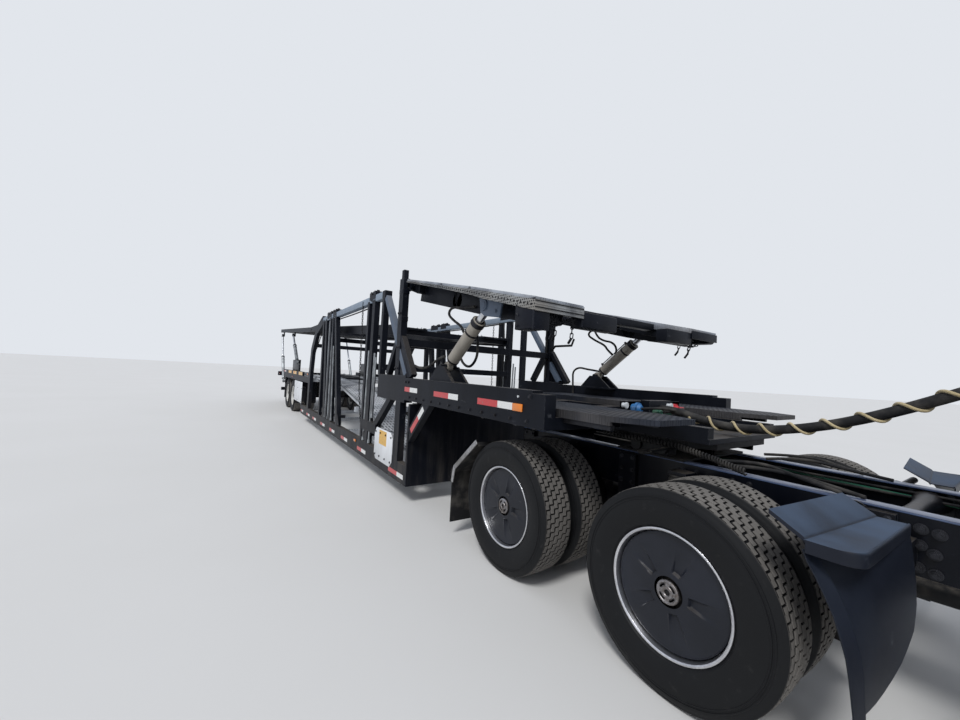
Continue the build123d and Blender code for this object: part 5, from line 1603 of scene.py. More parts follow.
def tanks(bm):
    for y in (-0.22, 0.22):
        verts = rod(bm, at(1.02, y, 0.615), at(1.8, y, 0.615), 0.098, 36)
        ends = {e for v in verts for e in v.link_edges if abs(e.verts[0].co.x - e.verts[1].co.x) < 0.001}
        round_edges(bm, list(ends), 0.045, 5)
        for x in (1.2, 1.62):
            tube_ring(bm, at(x, y, 0.615), (1, 0, 0), 0.099, 0.004, 36, 6)


def brakes(bm):
    for x in (0, -1.32):
        rods(bm, (x - 0.235, 0.4, 0.6, x - 0.1, 0.46, 0.6, 0.078, 28), (x - 0.185, 0.42, 0.6, x - 0.165,
            0.43, 0.6, 0.092, 28), (x - 0.1, 0.46, 0.6, x + 0.06, 0.53, 0.6, 0.012, 12))
        boxes(bm, (x + 0.04, 0.57, 0.43, x + 0.075, 0.59, 0.62, 0.004))
        for reach in (0.11, 0.15):
            rods(bm, (x - 0.06, reach + 0.13, 0.495, x - 0.06, reach + 0.15, 0.495, 0.105, 28))


def bellows(bm):
    """Two-lobed air springs over the trailing arms."""
    for x in (-0.32, -1.64):
        centre = at(x, 0.515, 0)
        profile = [(0.436, 0.0001), (0.437, 0.066), (0.45, 0.069), (0.63, 0.069), (0.655, 0.058)]
        for lobe in range(2):
            base = 0.655 + lobe * 0.125
            profile += [(base + 0.02, 0.068), (base + 0.045, 0.0725), (base + 0.08, 0.0725), (base + 0.105,
                0.068), (base + 0.122, 0.058)]
        profile += [(0.906, 0.066), (0.912, 0.064), (0.9125, 0.0001)]
        lathe_z(bm, profile, centre, 32)
    clean(bm)


def rear_end(bm):
    boxes(bm, (-2.006, -0.43, 0.7, -1.998, 0.43, 0.983, 0.003))
    for y in (-0.34, 0.34):
        for z in (0.76, 0.92):
            bolt(bm, at(-2.006, y, z), (-1, 0, 0), 0.012)
    boxes(bm, (-2.03, -0.16, 0.6, -2.022, 0.16, 0.7, 0.004), (-2.03, -0.06, 0.69, -2.004, 0.06, 0.74,
        0.003))


def rear_lamps(bm):
    for y in (0.22, 0.34):
        rods(bm, (-2.004, y, 0.845, -2.026, y, 0.845, 0.052, 28))


def hanger_strips(bm):
    bar(bm, at(-1.66, 1.236, 0.93), at(-2.0, 1.236, 0.64), 0.04, 0.01, 0.002)
    bar(bm, at(-2.0, 1.236, 0.65), at(-2.034, 1.236, 0.5), 0.036, 0.01, 0.002)
    boxes(bm, (-2.064, 0.606, 0.545, -2.054, 1.234, 0.605, 0.002))


def flap_bolts(bm):
    for y in (0.7, 0.86, 1.02, 1.18):
        bolt(bm, at(-2.064, y, 0.576), (-1, 0, 0), 0.01)
        bolt(bm, at(-2.052, y, 0.54), (-1, 0, 0), 0.008)


def jaws(bm):
    """Ribs under the coupling plate, its lock handle and the grease grooves' rims."""
    for x in steps_of(8, -0.745, 0.058):
        boxes(bm, (x, 0.462, 1.088, x + 0.02, 0.476, 1.13, 0.002))
    for y in (-0.3, 0.3):
        boxes(bm, (-1.0, y - 0.012, 1.04, -0.22, y + 0.012, 1.092, 0.004))
    rods(bm, (-0.42, -0.46, 1.07, -0.42, -0.72, 1.06, 0.011, 12))
    tube_ring(bm, at(-0.42, -0.76, 1.06), (0, 0, 1), 0.036, 0.01, 20, 8)
    for x in (-0.7, -0.5):
        rods(bm, (x, 0.405, 1.045, x, 0.445, 1.045, 0.04, 24))


def catwalk(bm):
    """A slatted step between the rails behind the sleeper."""
    for y in steps_of(9, -0.4, 0.1):
        boxes(bm, (1.14, y - 0.02, 0.987, 1.56, y + 0.02, 1.012, 0.004))
    for x in (1.16, 1.35, 1.54):
        boxes(bm, (x - 0.018, -0.425, 0.978, x + 0.018, 0.425, 0.99, 0.002))


def make_frame_gear():
    form("cast_cross_member", FRAME_PAINT, "tractor", "cast_metal", spool, sides=1)
    form("rail_flanges", RAIL_SKY_REFLECTION, "tractor", "frame_black", flanges)
    form("frame_bolts", DARK_STEEL, "tractor", "frame_black", rail_bolts)
    lines = [[at(2.4, 0.3, 0.9), at(1.4, 0.3, 0.9), at(0.9, 0.31, 0.92), at(0.3, 0.33, 0.93), at(-0.2, 0.36,
        0.94), at(-0.5, 0.38, 0.92)], [at(2.4, -0.3, 0.86), at(1.2, -0.32, 0.86), at(0.5, -0.33, 0.88),
        at(0.1, -0.34, 0.86), at(-0.3, -0.36, 0.8), at(-0.4, -0.38, 0.7)],]
    hoses("green_air_lines", lines, 0.009, GREEN_HOSE, "tractor")
    lines = []
    for side in (1, -1):
        for drop in range(2):
            y, z = side * (0.325 - 0.028 * drop), 0.95 - 0.024 * drop
            lines.append([at(2.9, y, z), at(1.8, y, z - 0.01), at(1.0, y, z + 0.01), at(0.2, y, z - 0.005),
                at(-0.8, y, z), at(-1.7, y, z)])
        for x in (0, -1.32):
            lines.append([at(x - 0.42, side * 0.33, 0.9), at(x - 0.36, side * 0.36, 0.76), at(x - 0.22,
                side * 0.42, 0.68), at(x - 0.12, side * 0.44, 0.6)])
    hoses("black_air_lines", lines, 0.007, BLACK_RUBBER, "tractor")

    form("air_tanks", TRIM_BLACK, "tractor", "frame_black", tanks, sides=1)
    form("brake_chambers", CAST_PAINT, "tractor", "cast_metal", brakes)
    form("air_springs", BLACK_RUBBER, "tractor", "line_wrap", bellows)
    form("rear_end_plate", FRAME_PAINT, "tractor", "frame_black", rear_end, sides=1)
    form("tractor_tail_lamps", RED_LENS, "tractor", "lamp_glass", rear_lamps)
    form("flap_hangers", STEEL, "tractor", "tank_metal", hanger_strips)
    form("flap_bolts", GALVANISED, "tractor", "tank_metal", flap_bolts)
    form("coupling_ribs", CAST_PAINT, "tractor", "cast_metal", jaws)
    form("catwalk", GALVANISED, "tractor", "tank_metal", catwalk, sides=1)


# Cab, sleeper and hood

CAB_FACE = 1.18
GLASS_SEAL = 0.012


def mirrored(shape):
    """Calls a shape function that takes a side, for the left and for the right."""
    def both(bm):
        for side in (1, -1):
            shape(bm, side)
    return both


def seal(bm, outline, thick):
    """A rubber seal round a closed outline of points."""
    for a, b in zip(outline, outline[1:] + outline[:1]):
        rod(bm, a, b, thick, 10)
        bmesh.ops.create_icosphere(bm, subdivisions=1, radius=thick, matrix=Matrix.Translation(b))


def screen_spot(along, depth, y):
    """A point on the windscreen's slope: along from the cowl upward, depth inward."""
    slope = Vector((-0.52, 0, 0.75)).normalized()
    inward = Vector((-slope.z, 0, slope.x))
    return at(4.6, y, 1.93) + slope * along + inward * depth


def seals(bm):
    outline = [screen_spot(0.07, 0.002, -0.98), screen_spot(0.07, 0.002, 0.98), screen_spot(0.852, 0.002,
        0.98), screen_spot(0.852, 0.002, -0.98)]
    seal(bm, outline, GLASS_SEAL)
    for side in (1, -1):
        seal(bm, [at(x, side * (CAB_FACE - 0.001), z) for x, z in ((2.35, 1.9), (2.85, 1.9), (2.85, 2.25),
            (2.35, 2.25))], 0.01)
    # The joint between cab and sleeper, over the roof and down both sides
    outline = [(1.18, 1.15)]
    outline += [(0.99 + 0.19 * cos(radians(13 * k)), 2.71 + 0.19 * sin(radians(13 * k))) for k in range(5)]
    for side in (1, -1):
        run = [at(3.3, side * y, z) for y, z in outline]
        for a, b in zip(run, run[1:]):
            rod(bm, a, b, 0.007, 10)
    rods(bm, (3.3, -1.107, 2.859, 3.3, 1.107, 2.859, 0.007, 10))


def wipers(bm):
    for y, lean in ((-0.55, 0.5), (0.25, 0.5)):
        foot = screen_spot(0.01, -0.012, y)
        rod(bm, foot + Vector((0.01, 0, -0.02)), foot + Vector((0.015, 0, 0.03)), 0.017, 18)
        tip = screen_spot(0.43, -0.018, y + lean * 0.4)
        rod(bm, foot, tip, 0.007, 10, 0.005)
        low = screen_spot(0.16, -0.012, y + lean * 0.28)
        high = screen_spot(0.7, -0.012, y + lean * 0.52)
        rod(bm, low, high, 0.007, 8)
        rod(bm, low + Vector((0.006, 0, 0.004)), high + Vector((0.006, 0, 0.004)), 0.004, 8)


def visor(bm):
    """A sun visor over the windscreen, and the rain gutters over the doors."""
    rows = []
    for y in steps_of(9, -1.02, 0.255):
        bow = 0.06 * (1 - (y / 1.02) ** 2)
        rows.append([at(4.075 + 0.12 * k / 4 + bow * k / 4, y,
            2.7 + 0.018 * sin(pi * k / 4) - 0.075 * (k / 4) ** 2) for k in range(5)])
    ribbon(bm, rows, 0.006)
    for side in (1, -1):
        rods(bm, (3.44, side * 1.176, 2.47, 4.02, side * 1.176, 2.47, 0.008, 10))
        for y in (0.3, 0.9):
            rods(bm, (4.11, side * y, 2.66, 4.11, side * y, 2.705, 0.008, 10))


def markers(bm):
    for y in (-0.8, -0.22, 0, 0.22, 0.8):
        verts = box(bm, at(3.8, y - 0.06, 2.772), at(3.88, y + 0.06, 2.812), 0.0)
        round_edges(bm, list({e for v in verts for e in v.link_edges}), 0.012, 3)


def marker_feet(bm):
    for y in (-0.8, -0.22, 0, 0.22, 0.8):
        boxes(bm, (3.785, y - 0.068, 2.745, 3.895, y + 0.068, 2.778, 0.005))
    # The antennas beside the windscreen
    for side in (1, -1):
        rods(bm, (4.5, side * 1.15, 1.93, 4.48, side * 1.165, 1.98, 0.012, 12), (4.48, side * 1.165, 1.98,
            4.33, side * 1.17, 2.66, 0.003, 6))


def skin_lines(bm, side):
    """Pressed ribs and rivet rows on the sleeper's sides, and its luggage doors."""
    y = side * CAB_FACE
    for z in (1.62, 1.66, 1.7):
        boxes(bm, (1.7, y - side * 0.002, z, 3.2, y + side * 0.003, z + 0.014, 0.002))
    seal(bm, [at(x, y, z) for x, z in ((1.72, 1.18), (2.46, 1.18), (2.46, 1.56), (1.72, 1.56))], 0.004)
    for step in range(19):
        for z in (1.15, 2.66):
            bolt(bm, at(1.68 + step * 0.085, y, z), (0, side, 0), 0.005, False)
    for z in (1.3, 1.55, 1.8, 2.05, 2.3, 2.55):
        bolt(bm, at(1.63, y, z), (0, side, 0), 0.005, False)


def rear_wall(bm):
    for y in (-0.9, -0.6, -0.3, 0.3, 0.6, 0.9):
        boxes(bm, (1.594, y - 0.03, 1.22, 1.602, y + 0.03, 2.62, 0.003))
    for y in (-1.05, 1.05):
        for step in range(14):
            bolt(bm, at(1.6, y, 1.25 + step * 0.105), (-1, 0, 0), 0.005, False)


def rear_fittings(bm):
    """Where the line bundle ends, and a grab rail at each side of the rear wall."""
    boxes(bm, (1.588, -0.16, 1.735, 1.601, 0.16, 1.89, 0.004))
    for y in (-0.11, 0.11):
        for z in (1.755, 1.87):
            bolt(bm, at(1.588, y, z), (-1, 0, 0), 0.008, False)
    for y in (-0.98, 0.98):
        rods(bm, (1.575, y, 1.45, 1.575, y, 2.15, 0.014, 16))
        for z in (1.45, 2.15):
            rods(bm, (1.575, y, z, 1.602, y, z, 0.014, 16))


def work_lamps(bm):
    for y in (-0.62, 0.62):
        rods(bm, (1.6, y, 2.48, 1.565, y, 2.475, 0.052, 28))


def work_lenses(bm):
    for y in (-0.62, 0.62):
        rods(bm, (1.567, y, 2.475, 1.56, y, 2.474, 0.044, 28))


def mirror_glass(bm, side):
    for z0, z1 in ((1.62, 1.8), (1.83, 2.14)):
        boxes(bm, (4.4965, side * 1.306, z0, 4.5015, side * 1.409, z1, 0.002))


def mirror_shells(bm, side):
    verts = box(bm, at(4.4995, side * 1.29, 1.58), at(4.5905, side * 1.4245, 2.18), 0.0)
    edges = [e for e in {e for v in verts for e in v.link_edges} if max(v.co.x for v in e.verts) > DRIVE_X +
        4.59]
    round_edges(bm, edges, 0.028, 4)
    for z in (1.6, 1.815, 2.16):
        boxes(bm, (4.4955, side * 1.296, z - 0.004, 4.5005, side * 1.419, z + 0.004, 0.001))
    for z0, z1 in ((1.88, 1.91), (1.6, 1.64)):
        rods(bm, (4.53, side * 1.178, z0, 4.54, side * 1.33, z1, 0.02, 18))
    boxes(bm, (4.497, side * 1.178, 1.565, 4.563, side * 1.203, 1.915, 0.008))


def door_seals(bm):
    window = [(3.55, 1.72), (3.55, 2.36), (4.02, 2.36), (4.31, 1.96), (4.33, 1.72)]
    seal(bm, [at(x, 1.178, z) for x, z in window], 0.009)
    panel = [(3.472, 1.178), (3.472, 2.428), (4.005, 2.428), (4.39, 1.955), (4.428, 1.88), (4.428, 1.178)]
    seal(bm, [at(x, 1.176, z) for x, z in panel], 0.004)


def door_handle(bm):
    """The pull handle, its plate and the lock."""
    boxes(bm, (3.51, 1.1795, 1.535, 3.69, 1.1845, 1.625, 0.002))
    rods(bm, *((x, 1.184, 1.58, x, 1.2, 1.58, 0.011, 14) for x in (3.525, 3.675)))
    boxes(bm, (3.514, 1.1805, 1.556, 3.686, 1.205, 1.604, 0.009, 3))
    rods(bm, (3.6, 1.18, 1.505, 3.6, 1.187, 1.505, 0.012, 18))


def door_card(bm):
    """The inner door card with its armrest and pocket."""
    plate(bm, 1.108, 0.01, ((3.5, 1.2), (3.5, 1.69), (4.3, 1.69), (4.38, 1.64), (4.38, 1.2)), 0.004)
    boxes(bm, (3.6, 1.06, 1.47, 4.18, 1.11, 1.53, 0.014, 3), (3.64, 1.08, 1.23, 4.26, 1.11, 1.33, 0.01))
    rods(bm, (4.22, 1.075, 1.56, 4.22, 1.109, 1.56, 0.02, 18))


def make_cab_outside():
    rows = (("door_seals_", door_seals, BLACK_RUBBER, "line_wrap"),
        ("door_handle_", door_handle, TRIM_BLACK, "bumper_plastic"),
        ("door_card_", door_card, TRIM_PLASTIC, "dash_plastic"))
    for side in ("left", "right"):
        for name, shape, finish, slot in rows:
            bm = bmesh.new()
            shape(bm)
            clean(bm, 0.00001)
            if side == "right":
                mirror_side(bm)
            piece(name + side, bm, finish, "door_" + side, slot)

    form("cab_seals", BLACK_RUBBER, "tractor", "line_wrap", seals, sides=1)
    form("wipers", TRIM_BLACK, "tractor", "bumper_plastic", wipers, sides=1)
    form("sun_visor", TRIM_PLASTIC, "tractor", "bumper_plastic", visor, sides=1)
    form("roof_markers", AMBER_LENS, "tractor", "lamp_glass", markers, sides=1)
    form("marker_feet", TRIM_BLACK, "tractor", "bumper_plastic", marker_feet, sides=1)
    form("sleeper_ribs", CAB_PAINT, "tractor", "cab_paint", mirrored(skin_lines), sides=1)
    form("rear_wall_ribs", CAB_PAINT, "tractor", "cab_paint", rear_wall, sides=1)
    form("rear_fittings", GALVANISED, "tractor", "tank_metal", rear_fittings, sides=1)
    form("work_lamps", TRIM_BLACK, "tractor", "bumper_plastic", work_lamps, sides=1)
    form("work_lenses", CLEAR_LENS, "tractor", "lamp_glass", work_lenses, sides=1)
    form("mirror_glass", ROD_STEEL, "tractor", "lamp_glass", mirrored(mirror_glass), sides=1)
    form("mirror_shells", TRIM_BLACK, "tractor", "bumper_plastic", mirrored(mirror_shells), sides=1)
    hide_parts("mirrors")


def bars(bm):
    for z in steps_of(13, 0.985, 0.0325):
        boxes(bm, (6.4395, -0.4, z, 6.47, 0.4, z + 0.011, 0.003))
    for y in (-0.408, 0.392):
        boxes(bm, (6.438, y, 0.964, 6.474, y + 0.016, 1.396, 0.003))
    for y in (-0.2, 0.0, 0.2):
        boxes(bm, (6.432, y - 0.006, 0.97, 6.446, y + 0.006, 1.392, 0.002))


def mesh_back(bm):
    for y in steps_of(34, -0.4, 0.02424):
        rods(bm, (6.424, y, 0.968, 6.424, y, 1.392, 0.0022, 5))
    for z in steps_of(18, 0.974, 0.0242):
        rods(bm, (6.42, -0.404, z, 6.42, 0.404, z, 0.0022, 5))
    boxes(bm, (6.41, -0.416, 0.962, 6.428, -0.404, 1.398, 0.002), (6.41, 0.404, 0.962, 6.428, 0.416, 1.398,
        0.002))


def frame_ring(bm):
    seal(bm, [at(6.488, y, z) for y, z in ((-0.425, 0.957), (0.425, 0.957), (0.425, 1.2), (-0.425, 1.2))],
        0.01)


def lamps(bm, side):
    """Two round lamps."""
    for y in (0.64, 0.755):
        spot = at(6.372, side * y, 1.112)
        lathe_x(bm, [(0.0, 0.0001), (0.0, 0.02), (0.012, 0.036), (0.03, 0.047), (0.036, 0.05),
            (0.036, 0.053), (-0.01, 0.053), (-0.01, 0.0001)], spot, 36)


def bezel(bm, side):
    y0, y1 = sorted((side * 0.558, side * 0.862))
    seal(bm, [at(6.418, y0, 1.022), at(6.418, y1, 1.022), at(6.412, y1, 1.198), at(6.412, y0, 1.198)],
        0.008)


def hood_gear(bm, side):
    """Rubber latches at the hood's rear edge."""
    for z in (1.12, 1.3):
        y = side * 1.176
        boxes(bm, (4.64, y - 0.018, z - 0.022, 4.78, y + 0.012, z + 0.022, 0.006, 3))
        rods(bm, (4.76, y + side * 0.004, z - 0.03, 4.76, y + side * 0.004, z + 0.03, 0.01, 14))


def hood_lines(bm):
    # Two raised spines along the hood
    for x0, z0, x1, z1 in ((4.7, 1.941, 5.3, 1.862), (5.3, 1.862, 6.14, 1.643)):
        for y in (-0.34, 0.34):
            bar(bm, at(x0, y, z0), at(x1, y, z1), 0.012, 0.03, 0.003)


def vents(bm, side):
    # The vent openings are thin near-black slabs: painted shade
    for x in steps_of(6, 4.86, 0.075):
        slab(bm, [at(x, side * 0.7695, 1.705), at(x + 0.05, side * 0.7695, 1.705), at(x + 0.05,
            side * 0.8335, 1.52), at(x, side * 0.8335, 1.52)], Vector((0, side * 0.003, 0.001)))


def fogs(bm, side):
    rods(bm, (6.55, side * 0.78, 0.6, 6.588, side * 0.78, 0.6, 0.055, 32))


def fog_rings(bm, side):
    tube_ring(bm, at(6.582, side * 0.78, 0.6), (1, 0, 0), 0.059, 0.008)
    boxes(bm, (6.5, -0.555, 0.645, 6.51, 0.555, 0.735, 0.002))
    for z in steps_of(5, 0.652, 0.019):
        boxes(bm, (6.509, -0.55, z, 6.54, 0.55, z + 0.006, 0.001))


def make_front():
    grille = form("grille_bars", STEEL, "hood", "grille_black", bars, sides=1)

    form("grille_net", TRIM_BLACK, "hood", "grille_black", mesh_back, sides=1)
    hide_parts("grille")

    form("grille_surround", BRIGHT, "hood", "grille_black", frame_ring, sides=1)
    form("headlamp_bowls", ROD_STEEL, "hood", "lamp_glass", mirrored(lamps), sides=1)
    form("headlamp_bezels", TRIM_BLACK, "hood", "bumper_plastic", mirrored(bezel), sides=1)
    form("hood_latches", BLACK_RUBBER, "hood", "line_wrap", mirrored(hood_gear), sides=1)
    form("hood_spines", CAB_PAINT, "hood", "cab_paint", hood_lines, sides=1)
    form("hood_vents", SHADOW_BLACK, "hood", "grille_black", mirrored(vents), sides=1)
    form("fog_lenses", CLEAR_LENS, "tractor", "lamp_glass", mirrored(fogs), sides=1)
    form("fog_rings", TRIM_BLACK, "tractor", "bumper_plastic", mirrored(fog_rings), sides=1)


def tank_straps(bm):
    for x in (2.25, 3.1):
        lathe_x(bm, [(-0.035, 0.3102), (-0.035, 0.3145), (0.035, 0.3145), (0.035, 0.3102),
            (-0.035, 0.3102)], at(x, 0.83, 0.69), 56)
        rods(bm, (x - 0.03, 0.53, 0.985, x + 0.03, 0.53, 0.985, 0.016, 14))
    for x in (2.003, 3.347):
        lathe_x(bm, [(-0.006, 0.296), (0.0, 0.3118), (0.006, 0.296), (-0.006, 0.296)], at(x, 0.83, 0.69),
            56)


def caps(bm):
    spot = at(2.64, 0.96, 0.965)
    rod(bm, spot, spot + Vector((0, 0.02, 0.036)), 0.052, 28)
    rod(bm, spot + Vector((0, 0.02, 0.036)), spot + Vector((0, 0.028, 0.05)), 0.06, 12)
    rod(bm, spot + Vector((0, 0.028, 0.05)), spot + Vector((0, 0.032, 0.058)), 0.045, 24)


def treads(bm):
    for z in (0.472, 0.742):
        for y in steps_of(5, 1.012, 0.03):
            boxes(bm, (3.56, y, z, 4.42, y + 0.01, z + 0.014, 0.002))
        for x in steps_of(12, 3.6, 0.07):
            boxes(bm, (x, 1.01, z, x + 0.008, 1.142, z + 0.01, 0.001))
    for z in (0.4, 0.655, 0.925, 1.025):
        boxes(bm, (3.478, 1.142, z, 4.502, 1.1515, z + 0.015, 0.003))
    for y in steps_of(9, 0.66, 0.055):
        boxes(bm, (3.5, y, 1.038, 4.48, y + 0.018, 1.046, 0.002))


def shocks(bm):
    """Dampers, brake chambers and the track rod of the front axle."""
    rods(bm, (5.35, 0.6, 0.46, 5.43, 0.5, 0.82, 0.032, 20), (5.4, 0.535, 0.69, 5.44, 0.49, 0.86, 0.04, 20),
        (5.23, 0.64, 0.6, 5.1, 0.62, 0.6, 0.085, 28), (5.18, 0.63, 0.6, 5.16, 0.628, 0.6, 0.096, 28),
        (5.17, 0.0, 0.4, 5.17, 0.72, 0.4, 0.02, 16))
    for x in (5.15, 5.55):
        for y in (0.475, 0.545):
            rods(bm, (x, y, 0.4, x, y, 0.5, 0.01, 10))


def make_side_gear():
    """Tank straps and caps, step treads, and the gear of the front axle."""
    form("tank_straps", BRIGHT, "tractor", "tank_metal", tank_straps)
    form("tank_caps", CAST_PAINT, "tractor", "cast_metal", caps)
    form("step_treads", GALVANISED, "tractor", "tank_metal", treads)
    form("front_axle_gear", CAST_PAINT, "tractor", "cast_metal", shocks)


def wheel_turn(bm, centre, axis):
    tube_ring(bm, centre, axis, 0.22, 0.0175, 48, 12)


DASH_FACE = Vector((-0.57, 0, 0.82))


def gauges(bm):
    for y in (0.34, 0.46, 0.58, 0.7):
        centre = at(4.325, y, 1.828)
        rod(bm, centre, centre + DASH_FACE * 0.01, 0.05, 28)
    for step in range(4):
        boxes(bm, (4.276, 0.02 - step * 0.1, 1.6, 4.292, 0.1 - step * 0.1, 1.66, 0.003))
    for y in (-0.95, -0.55, 0.16, 0.95):
        boxes(bm, (4.268, y - 0.075, 1.7, 4.284, y + 0.075, 1.756, 0.006))


def rims(bm):
    for y in (0.34, 0.46, 0.58, 0.7):
        tube_ring(bm, at(4.325, y, 1.828) + DASH_FACE * 0.01, DASH_FACE, 0.05, 0.004, 36, 8)


def levers(bm):
    rods(bm, (3.96, 0.12, 1.19, 3.9, 0.1, 1.62, 0.012, 14), (3.9, 0.1, 1.6, 3.893, 0.098, 1.67, 0.03, 20,
        0.022))
    lathe_z(bm, [(1.19, 0.095), (1.23, 0.08), (1.25, 0.088), (1.28, 0.062), (1.3, 0.068), (1.34, 0.03),
        (1.343, 0.0001)], at(3.96, 0.12, 0), 28)
    for y in (0.42, 0.54, 0.66):
        boxes(bm, (4.24, y - 0.035, 1.24, 4.262, y + 0.035, 1.34, 0.006))
        rods(bm, (4.262, y, 1.33, 4.33, y, 1.46, 0.008, 10))


def floor_mat(bm):
    boxes(bm, (3.33, -1.1, 1.1905, 4.29, 1.1, 1.1985, 0.003))
    for y in steps_of(20, -1.05, 0.11):
        boxes(bm, (3.345, y, 1.1975, 4.275, y + 0.03, 1.2025, 0.002))


def make_inside():
    """The steering wheel, the dashboard's gear, the gear lever and the pedals."""
    axis = Vector((-0.17, 0, 0.1)).normalized()
    hub_spot = at(4.13, 0.52, 1.85)

    def wheel(bm):
        wheel_turn(bm, hub_spot, axis)
        rod(bm, hub_spot - axis * 0.03, hub_spot + axis * 0.018, 0.062, 28, 0.05)
        across = Vector((0, 1, 0))
        down = axis.cross(across)
        for turn in (0.2, 2.94, 4.71):
            ray = across * cos(turn) + down * sin(turn)
            for off in (-0.014, 0.014):
                side = axis.cross(ray) * off
                rod(bm, hub_spot + side, hub_spot + ray * 0.215 + side, 0.009, 12)
    form("steering_wheel", TRIM_BLACK, "tractor", "dash_plastic", wheel, sides=1)
    form("dash_gauges", SHADOW_BLACK, "tractor", "dash_plastic", gauges, sides=1)
    form("gauge_rims", BRIGHT, "tractor", "dash_plastic", rims, sides=1)
    form("cab_controls", TRIM_BLACK, "tractor", "dash_plastic", levers, sides=1)
    form("floor_mat", BLACK_RUBBER, "tractor", "line_flap", floor_mat, sides=1)


# Seats and bunk

def cushion(name, low, high, shear, swell, channels, voxel=0.006):
    """A padded block: remeshed, blown up by cloth pressure and held near its start, then seamed."""
    low, high = Vector(low), Vector(high)
    bm = bmesh.new()
    verts = box(bm, low, high)
    edges = list({e for v in verts for e in v.link_edges})
    round_edges(bm, edges, min(high - low) * 0.3, 4)
    for vert in bm.verts:
        vert.co.x += shear * (vert.co.z - low.z)
    mesh = bpy.data.meshes.new(name)
    bm.to_mesh(mesh)
    bm.free()
    pad = bpy.data.objects.new(name, mesh)
    scene.collection.objects.link(pad)
    remesh = pad.modifiers.new("remesh", "REMESH")
    remesh.mode = "VOXEL"
    remesh.voxel_size = voxel
    bake(pad)
    before = [vert.co.copy() for vert in pad.data.vertices]
    cloth = pad.modifiers.new("cloth", "CLOTH")
    cloth.settings.use_pressure = True
    cloth.settings.uniform_pressure_force = 4
    cloth.settings.effector_weights.gravity = 0
    for frame_number in range(1, 21):
        scene.frame_set(frame_number)
    bake(pad)
    scene.frame_set(1)
    for vert, start in zip(pad.data.vertices, before):
        moved = vert.co - start
        if moved.length > swell:
            vert.co = start + moved.normalized() * swell
    divide = pad.modifiers.new("round", "SUBSURF")
    divide.levels = divide.render_levels = 1
    bake(pad)
    middle_spot = (low + high) / 2
    for vert in pad.data.vertices:
        for channel_axis, place in channels:
            reach = abs(vert.co[channel_axis] - place - (shear * (vert.co.z - low.z) if channel_axis == 0
                else 0))
            if reach < 0.014:
                inward = middle_spot + Vector((shear * (vert.co.z - low.z), 0, 0)) - vert.co
                inward[channel_axis] = 0
                vert.co += inward.normalized() * 0.01 * (1 - (reach / 0.014) ** 2)
    pad.data.materials.append(SEAT_CLOTH)
    pad.data.shade_smooth()
    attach(pad, "tractor")
    return pad


def bake(pad):
    """Applies a piece's modifiers to its mesh."""
    graph = bpy.context.evaluated_depsgraph_get()
    mesh = bpy.data.meshes.new_from_object(pad.evaluated_get(graph), depsgraph=graph)
    pad.modifiers.clear()
    pad.data = mesh


def stands(bm):
    """Seat suspension boxes, pans, back shells and the bunk's base."""
    for y in (0.52, -0.52):
        boxes(bm, (3.6, y - 0.19, 1.192, 4.0, y + 0.19, 1.215, 0.005))
        for step in range(5):
            spread = 0.01 * (step % 2)
            boxes(bm, (3.62 + spread, y - 0.18 + spread, 1.215 + step * 0.042, 3.98 - spread,
                y + 0.18 - spread, 1.257 + step * 0.042, 0.012, 3))
        boxes(bm, (3.54, y - 0.235, 1.425, 4.05, y + 0.235, 1.47, 0.012, 3))
        plate(bm, y - 0.215, 0.43, ((3.42, 1.6), (3.448, 1.62), (3.366, 2.13), (3.34, 2.13)), 0.008)
        for dy in (-0.24, 0.228):
            plate(bm, y + dy, 0.012, ((3.455, 1.43), (3.6, 1.43), (3.47, 1.72), (3.405, 1.72)), 0.004)
        for dy in (-0.06, 0.06):
            rods(bm, (3.372, y + dy, 2.1, 3.36, y + dy, 2.22, 0.007, 10))
        boxes(bm, (3.425, y - 0.268, 1.66, 3.84, y - 0.238, 1.705, 0.012, 3))
    boxes(bm, (1.705, -1.08, 1.192, 2.495, 1.08, 1.46, 0.012, 3))
    for y in (-0.7, 0.0, 0.7):
        boxes(bm, (2.492, y - 0.3, 1.225, 2.504, y + 0.3, 1.425, 0.006))
        rods(bm, (2.503, y, 1.385, 2.512, y, 1.385, 0.02, 18))


def make_seats():
    for side, y in (("left", 0.52), ("right", -0.52)):
        cushion("seat_pad_" + side, at(3.535, y - 0.235, 1.475), at(4.055, y + 0.235, 1.565),
            0.0, 0.022, [(1, y - 0.12), (1, y + 0.12)], 0.013)
        cushion("seat_back_" + side, at(3.45, y - 0.225, 1.625), at(3.535, y + 0.225, 2.13),
            -0.165, 0.022, [(2, 1.76), (2, 1.9), (2, 2.03)], 0.013)
        cushion("headrest_" + side, at(3.372, y - 0.125, 2.18), at(3.445, y + 0.125, 2.3),
            -0.165, 0.014, [], 0.009)
    cushion("bunk_mattress", at(1.74, -1.05, 1.48), at(2.47, 1.05, 1.59), 0.0, 0.022,
        [(0, at(1.92, 0, 0).x), (0, at(2.105, 0, 0).x), (0, at(2.29, 0, 0).x)], 0.026)
    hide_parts("cab_seats")

    form("seat_stands", TRIM_PLASTIC, "tractor", "dash_plastic", stands, sides=1)


# Trailer parts beyond the photograph

